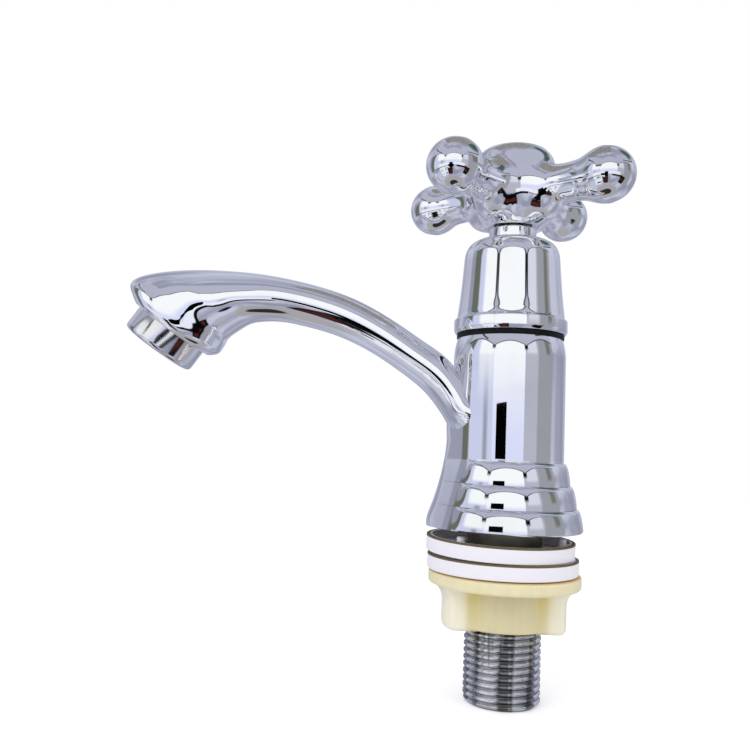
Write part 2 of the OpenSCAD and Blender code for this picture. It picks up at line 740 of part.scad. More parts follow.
module handle_cross() {
    color([0.80, 0.81, 0.85])
        difference() {
            union() {
                hub_solid();
                for (i = [0:arm_count - 1])
                    rotate([0, 0, handle_rest + 360 * i / arm_count]) {
                        translate([0, 0, arm_z])
                            arm();
                        arm_web();
                    }
            }
            translate([0, 0, hub_z - past])
                cylinder(r = insert_r + thread_gap, h = insert_top_z - hub_z + past);
            translate([0, 0, insert_top_z - past])
                cylinder(r = screw_r + 0.3, h = web_h + 2 * past);
            translate([0, 0, screw_seat_z])
                cylinder(r = cap_r - cap_rim, h = hub_h);
            translate([0, 0, cap_z])
                cylinder(r = cap_r + thread_gap, h = hub_h);
        }
}

module handle_insert() {
    color([0.9, 0.9, 0.88])
        difference() {
            translate([0, 0, insert_z])
                cylinder(r = insert_r, h = insert_top_z - insert_z);
            translate([0, 0, insert_z - past])
                cylinder(r = spindle_r + 0.04, h = spindle_top_z + face_gap - insert_z + past);
            translate([0, 0, insert_z])
                cylinder(r = screw_r + 0.3, h = insert_top_z - insert_z + past);
        }
}

module handle_screw() {
    slot_r = 1.5;
    color([0.7, 0.7, 0.72])
        difference() {
            union() {
                translate([0, 0, screw_seat_z])
                    cylinder(r = screw_head_r, h = screw_head_h);
                translate([0, 0, screw_seat_z - screw_length])
                    cylinder(r = screw_r, h = screw_length);
            }
            translate([0, 0, screw_seat_z + screw_head_h - 1.4])
                cylinder(r = slot_r, h = 1.4 + past, $fn = 6);
        }
}

module handle_cap() {
    skirt_r = cap_r - cap_rim - 0.05;
    color([0.80, 0.81, 0.85])
        rotate_extrude()
            polygon(concat([[0, cap_z + 0.9], [skirt_r - 1, cap_z + 0.9], [skirt_r - 1, cap_z - 0.8],
                [skirt_r, cap_z - 0.8], [skirt_r, cap_z], [cap_r, cap_z]],
                curve([cap_r, hub_top_z - 0.2], [cap_r * 0.6, hub_top_z], [0, hub_top_z], 6)));
}

module aerator_housing() {
    inner_r = aerator_thread_r - aerator_wall;
    lip_r = inner_r - 0.8;
    color([0.78, 0.78, 0.80])
        at_mouth()
            rotate_extrude()
                polygon(concat([[lip_r, -collar_h]],
                    arc(collar_outer_r - collar_round, collar_round - collar_h, collar_round, -90, 0, 6),
                    [[collar_outer_r, -face_gap], [aerator_thread_r, -face_gap],
                    [aerator_thread_r, aerator_thread_h], [inner_r, aerator_thread_h],
                    [inner_r, insert_recess - collar_h], [lip_r, insert_recess - collar_h]]));
}

module aerator_insert() {
    body_low = insert_recess - collar_h;
    body_high = aerator_thread_h;
    cup_wall = 1;
    color([0.92, 0.92, 0.93])
        at_mouth()
            difference() {
                translate([0, 0, body_low])
                    cylinder(r = insert_plate_r, h = body_high - body_low);
                translate([0, 0, body_low + insert_h])
                    cylinder(r = insert_plate_r - cup_wall, h = body_high - body_low);
                translate([0, 0, body_low - past])
                    cylinder(r = strainer_hole_r, h = insert_h + 2 * past, $fn = 16);
                for (k = [1:strainer_rings]) for (i = [0:6 * k - 1])
                    rotate([0, 0, 60 * i / k])
                        translate([strainer_pitch * k, 0, body_low - past])
                            cylinder(r = strainer_hole_r, h = insert_h + 2 * past, $fn = 16);
            }
}

module aerator_washer() {
    color([0.12, 0.12, 0.12])
        at_mouth()
            ring(aerator_thread_r, aerator_thread_r - 2.2, aerator_thread_h, socket_depth);
}

// A cup-shaped washer: a rim round a floor that has a hole for the tail
module washer_cup(radius, height) {
    edge = 0.4;
    rotate_extrude()
        polygon(concat([[washer_hole_r, -height]],
            arc(radius - edge, edge - height, edge, -90, 0, 3),
            arc(radius - edge, -edge, edge, 0, 90, 3),
            [[radius - washer_rim, 0], [radius - washer_rim, washer_floor - height],
            [washer_hole_r, washer_floor - height]]));
}

module upper_washer() {
    tilt_to = 35;
    nib_at = upper_washer_r - washer_rim - nib_r - 0.8;
    first_nib = -45;
    color([0.90, 0.88, 0.92])
        translate([0, -upper_washer_shift, upper_washer_top_z])
            rotate([0, 0, tilt_to])
                rotate([0, upper_washer_tilt, 0])
                    rotate([0, 0, -tilt_to])
                        union() {
                            washer_cup(upper_washer_r, upper_washer_h);
                            for (i = [0:nib_count - 1])
                                rotate([0, 0, first_nib + 360 * i / nib_count])
                                    translate([nib_at, 0, washer_floor - upper_washer_h]) {
                                        cylinder(r = nib_r, h = upper_washer_h - washer_floor + nib_h);
                                        translate([0, -nib_r / 2, 0])
                                            cube([nib_r + 1.2, nib_r, upper_washer_h - washer_floor - 0.4]);
                                    }
                        }
}

module lower_washer() {
    color([0.90, 0.88, 0.92])
        translate([0, -lower_washer_shift, lower_washer_top_z])
            washer_cup(lower_washer_r, lower_washer_h);
}

// The outline that the nut's flange, cone and wings are turned to
module nut_turning() {
    cone_h = 4.6;
    edge = 0.5;
    rotate_extrude()
        polygon(concat([[0, nut_bottom_z + wing_short]],
            arc(wing_r - wing_round, nut_bottom_z + wing_short + wing_round, wing_round, -90, 0, 5),
            curve([wing_r, nut_top_z - nut_flange_h - cone_h], [wing_r + 0.4, nut_top_z - nut_flange_h - 1],
                [nut_flange_r - 0.6, nut_top_z - nut_flange_h + 0.2], 5),
            arc(nut_flange_r - edge, nut_top_z - edge, edge, 0, 90, 3), [[0, nut_top_z]]));
}

module lock_nut() {
    lead = 0.8;
    corner = 3.4;
    bore_r = shank_r + run_gap;
    color([0.93, 0.88, 0.70])
        difference() {
            union() {
                ring(nut_flange_r - 0.5, bore_r, nut_top_z - nut_flange_h, nut_top_z - 0.5);
                rotate_extrude()
                    polygon([[bore_r, nut_bottom_z], [nut_hub_r - 0.6, nut_bottom_z],
                        [nut_hub_r, nut_bottom_z + 0.6], [nut_hub_r, nut_top_z - 1], [bore_r, nut_top_z - 1]]);
                intersection() {
                    nut_turning();
                    translate([0, 0, nut_bottom_z])
                        linear_extrude(nut_h)
                            union() {
                                square([wing_width - 2 * corner, 2 * nut_flange_r], center = true);
                                square([wing_width, 2 * (wing_r - corner)], center = true);
                                for (x = [-1, 1]) for (y = [-1, 1])
                                    translate([x * (wing_width / 2 - corner), y * (wing_r - corner)])
                                        circle(corner);
                            }
                }
                intersection() {
                    nut_turning();
                    translate([0, 0, nut_top_z - nut_flange_h])
                        cylinder(r = nut_flange_r + past, h = nut_flange_h);
                }
            }
            translate([0, 0, nut_bottom_z - past])
                cylinder(r = bore_r, h = nut_h + 2 * past);
            translate([0, 0, nut_bottom_z - 0.01])
                cylinder(r1 = bore_r + lead, r2 = bore_r, h = lead);
            translate([0, 0, nut_top_z - lead + 0.01])
                cylinder(r1 = bore_r, r2 = bore_r + lead, h = lead);
        }
}

tap_body();
shank();
shank_seal();
bonnet_gasket();
bonnet_cover();
bonnet_ring();
headwork();
headwork_seal();
seat_seal();
fixed_disc();
moving_disc();
spindle();
spindle_orings();
spindle_clip();
thrust_washer();
handle_cross();
handle_insert();
handle_screw();
handle_cap();
aerator_housing();
aerator_insert();
aerator_washer();
upper_washer();
lower_washer();
lock_nut();
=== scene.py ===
"""A chromed basin tap: its looks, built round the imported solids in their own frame.

Sizes are in millimetres, with the origin under the middle of the foot, +Z up and the spout along -Y.
Meshes are scaled to metres when they are finished.
"""

import logging
import math
from collections.abc import Callable, Iterable, Sequence
from dataclasses import dataclass, field
from enum import Enum
from typing import Any

import bmesh
import bpy
import numpy as np
from mathutils import Matrix, Vector


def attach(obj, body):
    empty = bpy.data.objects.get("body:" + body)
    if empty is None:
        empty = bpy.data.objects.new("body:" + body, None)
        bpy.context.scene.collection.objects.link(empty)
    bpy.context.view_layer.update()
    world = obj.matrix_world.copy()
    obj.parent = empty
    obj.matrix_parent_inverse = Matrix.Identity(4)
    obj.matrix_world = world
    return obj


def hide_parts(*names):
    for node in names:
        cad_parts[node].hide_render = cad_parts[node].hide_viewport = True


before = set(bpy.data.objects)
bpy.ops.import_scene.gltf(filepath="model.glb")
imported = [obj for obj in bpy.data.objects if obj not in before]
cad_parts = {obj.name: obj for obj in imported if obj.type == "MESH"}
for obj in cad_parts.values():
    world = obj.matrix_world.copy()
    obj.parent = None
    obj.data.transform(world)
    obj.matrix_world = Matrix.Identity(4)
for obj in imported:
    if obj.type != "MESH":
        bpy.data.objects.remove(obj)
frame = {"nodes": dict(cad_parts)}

LOG = logging.getLogger("basin_tap")
MM = 0.001
Point = tuple[float, float]
Colour = tuple[float, float, float]
Verts = list[bmesh.types.BMVert]
WHITE: Colour = (1.0, 1.0, 1.0)


# Colour and outline helpers


def seen(red: int, green: int, blue: int) -> Colour:
    """Turns a colour as a screen shows it into the linear values that a shader takes.

    Args:
        red: Red, from 0 to 255.
        green: Green, from 0 to 255.
        blue: Blue, from 0 to 255.

    Returns:
        The three linear values, from 0 to 1.
    """
    def linear(value: int) -> float:
        """Returns one channel's linear value."""
        share = value / 255
        return share / 12.92 if share <= 0.04045 else ((share + 0.055) / 1.055) ** 2.4

    return linear(red), linear(green), linear(blue)


def flowing(points: Sequence[Sequence[float]], steps: int) -> list[tuple[float, ...]]:
    """Draws a smooth curve through points.

    Args:
        points: The points, with any number of values each.
        steps: How many steps there are between two points.

    Returns:
        The curve's points, the first and last of the given ones among them.
    """
    ends = [points[0], *points, points[-1]]
    curve: list[tuple[float, ...]] = []
    for before, start, end, after in zip(ends, ends[1:], ends[2:], ends[3:]):
        for step in range(steps):
            t = step / steps
            curve.append(tuple(
                b + t / 2 * (c - a + t * (2 * a - 5 * b + 4 * c - d + t * (3 * (b - c) + d - a)))
                for a, b, c, d in zip(before, start, end, after)))
    curve.append(tuple(points[-1]))
    return curve


def rounded(corners: Sequence[tuple[float, ...]], steps: int = 5, closed: bool = True) -> list[Point]:
    """Rounds an outline's corners with arcs.

    Args:
        corners: Radius and height of each corner, and after them the arc's radius where there is one.
        steps: How many steps each arc has.
        closed: Whether the last corner joins the first.

    Returns:
        The outline's points.
    """
    outline: list[Point] = []
    count = len(corners)
    for index, corner in enumerate(corners):
        here = Vector(corner[:2])
        reach = corner[2] if len(corner) > 2 else 0.0
        if reach == 0 or (not closed and index in (0, count - 1)):
            outline.append((here.x, here.y))
            continue
        to_last = Vector(corners[index - 1][:2]) - here
        to_next = Vector(corners[(index + 1) % count][:2]) - here
        half = to_last.angle(to_next) / 2
        run = min(reach / math.tan(half), 0.49 * to_last.length, 0.49 * to_next.length)
        start = here + to_last.normalized() * run
        end = here + to_next.normalized() * run
        for step in range(steps + 1):
            t = step / steps
            bend = start * (1 - t) ** 2 + here * 2 * t * (1 - t) + end * t ** 2
            outline.append((bend.x, bend.y))
    return outline


def toned(colour: Colour, share: float) -> Colour:
    """Returns a colour with each of its parts multiplied by a share."""
    return tuple(share * part for part in colour)


def added(name: str, data: Any) -> bpy.types.Object:
    """Adds an object to the scene and returns it."""
    made = bpy.data.objects.new(name, data)
    bpy.context.scene.collection.objects.link(made)
    return made


def spun(angle: float, axis: str = "Z") -> Matrix:
    """Returns a turn about an axis, in degrees."""
    return Matrix.Rotation(math.radians(angle), 4, axis)


def edges_of(verts: Iterable[bmesh.types.BMVert]) -> list[bmesh.types.BMEdge]:
    """Returns the edges that end at any of the vertices."""
    return list({edge for vert in verts for edge in vert.link_edges})


# Shader maths


def maths(operation: str, swapped: bool = False) -> Callable[..., "Signal"]:
    """Makes a method that adds one Math node.

    Args:
        operation: The node's operation.
        swapped: Whether the other value comes first.

    Returns:
        The method, which takes a signal and, where the operation has one, another value.
    """
    def method(self: "Signal", other: Any = 0.0) -> "Signal":
        """Returns the operation's result."""
        first, second = (other, self) if swapped else (self, other)
        return self.graph.node("ShaderNodeMath", {"operation": operation}, {0: first, 1: second})

    return method


class Signal:
    """A value that varies over a surface, with the arithmetic that a material needs."""

    __add__ = __radd__ = maths("ADD")
    __sub__ = maths("SUBTRACT")
    __rsub__ = maths("SUBTRACT", True)
    __mul__ = __rmul__ = maths("MULTIPLY")
    root = maths("SQRT")
    size = maths("ABSOLUTE")
    arcsine = maths("ARCSINE")
    arctangent = maths("ARCTAN2")
    __pow__ = maths("POWER")

    def __init__(self, graph: "Graph", socket: bpy.types.NodeSocket) -> None:
        """Wraps one output socket of a graph's node."""
        self.graph = graph
        self.socket = socket

    def rise(self, low: float, high: float) -> "Signal":
        """Returns a smooth step that is 0 at low and 1 at high."""
        return self.graph.node("ShaderNodeMapRange", {"interpolation_type": "SMOOTHSTEP"},
                               {"Value": self, "From Min": low, "From Max": high})

    def between(self, low: float, high: float, soft: float) -> "Signal":
        """Returns 1 inside a range and 0 outside it.

        Args:
            low: The range's lower end.
            high: The range's upper end.
            soft: How wide the change at each end is.

        Returns:
            The mask.
        """
        half = soft / 2
        return self.rise(low - half, low + half) * (1 - self.rise(high - half, high + half))


class Graph:
    """The node graph of a material or of the world."""

    def __init__(self, tree: bpy.types.NodeTree) -> None:
        """Empties a node tree and keeps it."""
        self.tree = tree
        tree.nodes.clear()

    def node(self, kind: str, settings: dict[str, Any] | None = None,
             inputs: dict[Any, Any] | None = None, output: Any = 0) -> Signal:
        """Adds a node.

        Args:
            kind: The node's type.
            settings: The node's own settings, which are set first.
            inputs: A value or a link for each named or numbered socket.
            output: The name or number of the output that is returned.

        Returns:
            The chosen output.
        """
        made = self.tree.nodes.new(kind)
        for name, value in (settings or {}).items():
            setattr(made, name, value)
        for key, value in (inputs or {}).items():
            socket = made.inputs[key]
            if isinstance(value, Signal):
                self.tree.links.new(value.socket, socket)
            elif isinstance(value, tuple) and len(value) == 3 and socket.type == "RGBA":
                socket.default_value = (*value, 1.0)
            else:
                socket.default_value = value
        return Signal(self, made.outputs[output] if len(made.outputs) else None)

    def mix(self, share: Any, low: Any, high: Any) -> Signal:
        """Mixes two colours, from low where share is 0 to high where it is 1."""
        return self.node("ShaderNodeMix", {"data_type": "RGBA"}, {0: share, 6: low, 7: high}, 2)

    def noise(self, place: Signal, scale: float, detail: float = 2.0, rough: float = 0.5) -> Signal:
        """Returns cloudy noise from 0 to 1 at a place, with scale as lumps in a metre."""
        return self.node("ShaderNodeTexNoise", None,
                         {"Vector": place, "Scale": scale, "Detail": detail, "Roughness": rough})

    def split(self, place: Signal) -> tuple[Signal, Signal, Signal]:
        """Returns a vector's three parts."""
        whole = self.node("ShaderNodeSeparateXYZ", None, {0: place}).socket.node
        return tuple(Signal(self, whole.outputs[axis]) for axis in range(3))

    def reach(self, place: Signal) -> Signal:
        """Returns a place's distance from the Z axis."""
        across, along, _ = self.split(place)
        return (across * across + along * along).root()

    def moved(self, place: Signal, scale: Sequence[float] = (1, 1, 1), turn: Sequence[float] = (0, 0, 0),
              shift: Sequence[float] = (0, 0, 0)) -> Signal:
        """Returns a place that is scaled, turned and shifted."""
        return self.node("ShaderNodeMapping", None,
                         {"Vector": place, "Location": shift, "Rotation": turn, "Scale": scale})


# Finishes


@dataclass(frozen=True)
class Finish:
    """How one material looks. Each kind of finish says what varies over its surface."""

    name: str
    colour: Colour
    metallic: float = 0.0
    roughness: float = 0.4
    constants: tuple[tuple[str, Any], ...] = ()

    def surface(self, graph: Graph, place: Signal) -> dict[str, Any]:
        """Returns what feeds the shader's sockets, by their names."""
        cloud = graph.noise(place, 260.0, 3.0)
        return self.skin(graph, graph.mix(cloud.rise(0.3, 0.75), toned(self.colour, 0.82), self.colour),
                         cloud * 0.12 + (self.roughness - 0.06), graph.noise(place, 1400.0, 2.0), 0.00002)

    def skin(self, graph: Graph, colour: Signal, roughness: Signal, height: Signal,
             distance: float) -> dict[str, Any]:
        """Returns what feeds the shader of a surface with a bump.

        Args:
            graph: The material's graph.
            colour: The surface's colour.
            roughness: Its roughness.
            height: The bump's height, from 0 to 1.
            distance: The real height of 1, in metres.

        Returns:
            The inputs by the sockets' names.
        """
        bump = graph.node("ShaderNodeBump", None, {"Height": height, "Distance": distance, "Strength": 1.0})
        return {"Base Color": colour, "Roughness": roughness, "Normal": bump}

    def shader(self, graph: Graph, place: Signal) -> Signal:
        """Returns the shader of a surface at a place."""
        return graph.node("ShaderNodeBsdfPrincipled", None, {
            "Metallic": self.metallic, "Roughness": self.roughness, **dict(self.constants),
            **self.surface(graph, place)})

    def material(self) -> bpy.types.Material:
        """Returns this finish's material, which is made once."""
        made = bpy.data.materials.get(self.name)
        if made is None:
            made = bpy.data.materials.new(self.name)
            made.use_nodes = True
            graph = Graph(made.node_tree)
            shader = self.shader(graph, graph.node("ShaderNodeTexCoord", output="Object"))
            graph.node("ShaderNodeOutputMaterial", None, {"Surface": shader})
            made.diffuse_color = (*self.colour, 1.0)
        return made


@dataclass(frozen=True)
class Chrome(Finish):
    """Bright plating over polished metal, with a faint swell and soft hand marks."""

    swell: float = 0.0000016

    def surface(self, graph: Graph, place: Signal) -> dict[str, Any]:
        """Returns a nearly even mirror whose gloss is a little dulled in soft clouds."""
        smear = graph.noise(place, 70.0, 4.0, 0.6).rise(0.45, 0.8)
        peel = graph.noise(place, 420.0, 1.0)
        return self.skin(graph, graph.mix(smear, self.colour, toned(self.colour, 0.93)),
                         smear * 0.03 + self.roughness, peel, self.swell)


@dataclass(frozen=True)
class TurnedMetal(Finish):
    """Satin plating on a turned collar, with fine tool lines round its axis."""

    lean: float = 34.5
    middle: tuple[float, float, float] = (0.0, -0.0968, 0.0523)

    def surface(self, graph: Graph, place: Signal) -> dict[str, Any]:
        """Returns fine lines along the collar's own axis and clouds over them."""
        local = graph.moved(graph.moved(place, shift=toned(self.middle, -1)),
                            turn=(math.radians(self.lean), 0, 0))
        _, _, along = graph.split(local)
        lines = graph.node("ShaderNodeTexNoise", {"noise_dimensions": "1D"},
                           {"W": along, "Scale": 5200.0, "Detail": 2.0})
        cloud = graph.noise(place, 300.0, 3.0)
        wear = cloud.rise(0.35, 0.75) * 0.3 + lines * 0.15
        return self.skin(graph, graph.mix(wear, self.colour, toned(self.colour, 0.78)),
                         cloud * 0.06 + self.roughness, cloud, 0.000002)


@dataclass(frozen=True)
class ThreadedSteel(Finish):
    """Plated steel thread whose grooves are darkened with painted shade, so that its crests stand bright."""

    crest: float = 0.01048
    depth: float = 0.00055

    def surface(self, graph: Graph, place: Signal) -> dict[str, Any]:
        """Returns colour and gloss by depth below the crests, with painted shade in the grooves, broken up by
        scuffs.
        """
        # painted shade: the colour darkens towards the bottom of each groove
        groove = 1 - graph.reach(place).rise(self.crest - self.depth, self.crest - 0.25 * self.depth)
        scuff = graph.noise(graph.moved(place, scale=(1, 1, 3)), 420.0, 4.0, 0.65)
        groove_shade_and_scuff = (groove * 0.8 + scuff * 0.7 - 0.45).rise(0.15, 0.95)
        streak = graph.noise(graph.moved(place, scale=(1, 1, 0.06)), 250.0, 3.0, 0.6)
        streak = streak.rise(0.42, 0.56) * 0.72 + 0.28
        return self.skin(graph, graph.mix(groove_shade_and_scuff, self.colour, toned(self.colour, 0.3)) * streak,
                         groove_shade_and_scuff * 0.2 + self.roughness, scuff, 0.00003)


@dataclass(frozen=True)
class WasherPlastic(Finish):
    """Pale moulded plastic, its top rim dark brown and its inside warm and darker, both painted shade."""

    # painted shade: dark brown for the rim's upward faces, warm grey-brown for the inside
    rim: Colour = seen(92, 72, 48)
    inside: Colour = seen(146, 134, 108)
    radius: float = 0.0205
    wall: float = 0.0017

    def surface(self, graph: Graph, place: Signal) -> dict[str, Any]:
        """Returns lilac white on the outer wall, with painted shade in warm tones on the rim and inside."""
        _, _, up = graph.split(graph.node("ShaderNodeNewGeometry", output="Normal"))
        reach = graph.reach(graph.moved(place, shift=(0, 0.001, 0)))
        # painted shade over the inner wall and the inner half of the top
        inner = 1 - reach.rise(self.radius - 1.2 * self.wall, self.radius - 0.7 * self.wall)
        cloud = graph.noise(place, 210.0, 4.0, 0.6)
        wall = graph.mix(cloud.rise(0.35, 0.8) * 0.6, self.colour, toned(self.colour, 0.86))
        # painted shade: faces that look upwards go dark brown
        top_shaded = graph.mix(up.rise(0.04, 0.3), wall, self.rim)
        return self.skin(graph, graph.mix(inner, top_shaded, self.inside), cloud * 0.2 + (self.roughness - 0.1),
                         graph.noise(place, 900.0, 3.0), 0.00003)


@dataclass(frozen=True)
class IvoryNylon(Finish):
    """Ivory nylon that lets light in, with a deeper hub and painted shade in yellow in the corners between its hub
    and wings.
    """

    hub: Colour = seen(226, 216, 176)
    flange: Colour = seen(238, 228, 188)
    # painted shade: brown line where the washer sits on the flange
    washer_gap_shade: Colour = seen(205, 172, 95)
    # painted shade: yellow in the concave corners between hub and wings
    corner_shade: Colour = seen(232, 212, 118)
    top_z: float = -0.0151

    def surface(self, graph: Graph, place: Signal) -> dict[str, Any]:
        """Returns ivory wings, a deeper hub and flange, painted shade in yellow in the corners and a brown line of
        painted shade under the washer.
        """
        across, along, up = graph.split(place)
        side = along.size()
        wing = side.rise(0.0092, 0.0118)
        front = across.size().rise(0.002, 0.008)
        high = up.rise(self.top_z - 0.011, self.top_z - 0.001)
        # painted shade in the concave corners between hub and wings, strongest under the flange
        corner = side.between(0.0072, 0.0110, 0.004) * front * (high * 0.75 + 0.25)
        rim = up.rise(self.top_z - 0.0006, self.top_z + 0.0006)
        cloud = graph.noise(place, 120.0, 3.0, 0.55)
        streak = graph.noise(graph.moved(place, scale=(1, 1, 0.1)), 420.0, 3.0, 0.6)
        colour = graph.mix(wing, self.hub, self.colour)
        colour = graph.mix(corner * 0.8, colour, self.corner_shade)
        colour = graph.mix(rim, colour, self.flange)
        # painted shade: a brown line along the flange's top under the washer
        colour = graph.mix(up.rise(-0.01225, -0.0118), colour, self.washer_gap_shade)
        stain = (streak * 0.7 + cloud * 0.5 - 0.45).rise(0.0, 0.5) * (1 - wing * 0.6) * 0.5
        return self.skin(graph, graph.mix(stain, colour, toned(self.hub, 0.8)),
                         cloud * 0.14 + (self.roughness - 0.05), graph.noise(place, 700.0, 3.0), 0.00003)


@dataclass(frozen=True)
class Rubber(Finish):
    """Black rubber with a fine grain and a bloom of dust."""

    def surface(self, graph: Graph, place: Signal) -> dict[str, Any]:
        """Returns nearly black rubber with a little grey bloom."""
        bloom = graph.noise(place, 350.0, 4.0, 0.6)
        dusty = tuple(part + 0.03 for part in self.colour)
        return self.skin(graph, graph.mix(bloom.rise(0.55, 0.9), self.colour, dusty),
                         bloom * 0.2 + (self.roughness - 0.1), graph.noise(place, 2600.0, 2.0), 0.00002)


@dataclass(frozen=True)
class FloorPaint(Finish):
    """Plain pale floor that reads as white to the camera and keeps the soft shadow."""

    lift: float = 0.33

    def shader(self, graph: Graph, place: Signal) -> Signal:
        """Returns pale paint with a glow that only the camera sees."""
        cloud = graph.noise(place, 3.0, 2.0)
        paint = graph.node("ShaderNodeBsdfDiffuse", None, {
            "Color": graph.mix(cloud, self.colour, toned(self.colour, 0.985))})
        camera = graph.node("ShaderNodeLightPath", output="Is Camera Ray")
        glow = graph.node("ShaderNodeEmission", None, {"Color": WHITE, "Strength": camera * self.lift})
        return graph.node("ShaderNodeAddShader", None, {0: paint, 1: glow})


class Palette(Enum):
    """Every finish on the tap and round it."""

    CHROME = Chrome("polished_chrome", (0.965, 0.966, 0.97), 1.0, 0.016)
    COLLAR = TurnedMetal("collar_plating", (0.86, 0.855, 0.85), 1.0, 0.08)
    TAIL = ThreadedSteel("tail_steel", (0.88, 0.89, 0.89), 1.0, 0.13)
    # painted shade: the tail's neck darkened to olive where it shows in the gap under the foot
    NECK_SHADE = Finish("brushed_neck_shade", (0.26, 0.26, 0.19), 1.0, 0.34)
    WASHER = WasherPlastic("washer_plastic", seen(172, 162, 176), 0.0, 0.42)
    # painted shade: a dark brown band laid over each washer's top rim
    RIM_SHADE = Finish("washer_rim", seen(112, 96, 68), 0.0, 0.6, (("Specular IOR Level", 0.2),))
    NYLON = IvoryNylon("ivory_nylon", seen(250, 244, 222), 0.0, 0.34,
                       (("Subsurface Weight", 0.25), ("Subsurface Radius", (1.0, 0.8, 0.4)),
                        ("Subsurface Scale", 0.004)))
    RUBBER = Rubber("black_rubber", (0.006, 0.006, 0.007), 0.0, 0.5, (("Specular IOR Level", 0.15),))
    BRASS = Finish("brass", (0.62, 0.47, 0.24), 1.0, 0.3)
    SPRING_STEEL = Finish("spring_steel", (0.42, 0.43, 0.45), 1.0, 0.3)
    CERAMIC = Finish("ceramic", (0.82, 0.82, 0.80), 0.0, 0.22)
    SLIPPERY = Finish("slippery_plastic", (0.80, 0.79, 0.74), 0.0, 0.5)
    WHITE_PLASTIC = Finish("white_plastic", (0.78, 0.79, 0.80), 0.0, 0.4)
    DARK_CARD = Finish("dark_card", (0.001, 0.001, 0.001), 0.0, 0.9, (("Specular IOR Level", 0.0),))
    ROOF_CARD = Finish("roof_card", seen(163, 162, 156), 0.0, 0.9)
    FLOOR = FloorPaint("floor_paint", (0.86, 0.86, 0.87), 0.0, 0.8)


# Mesh building


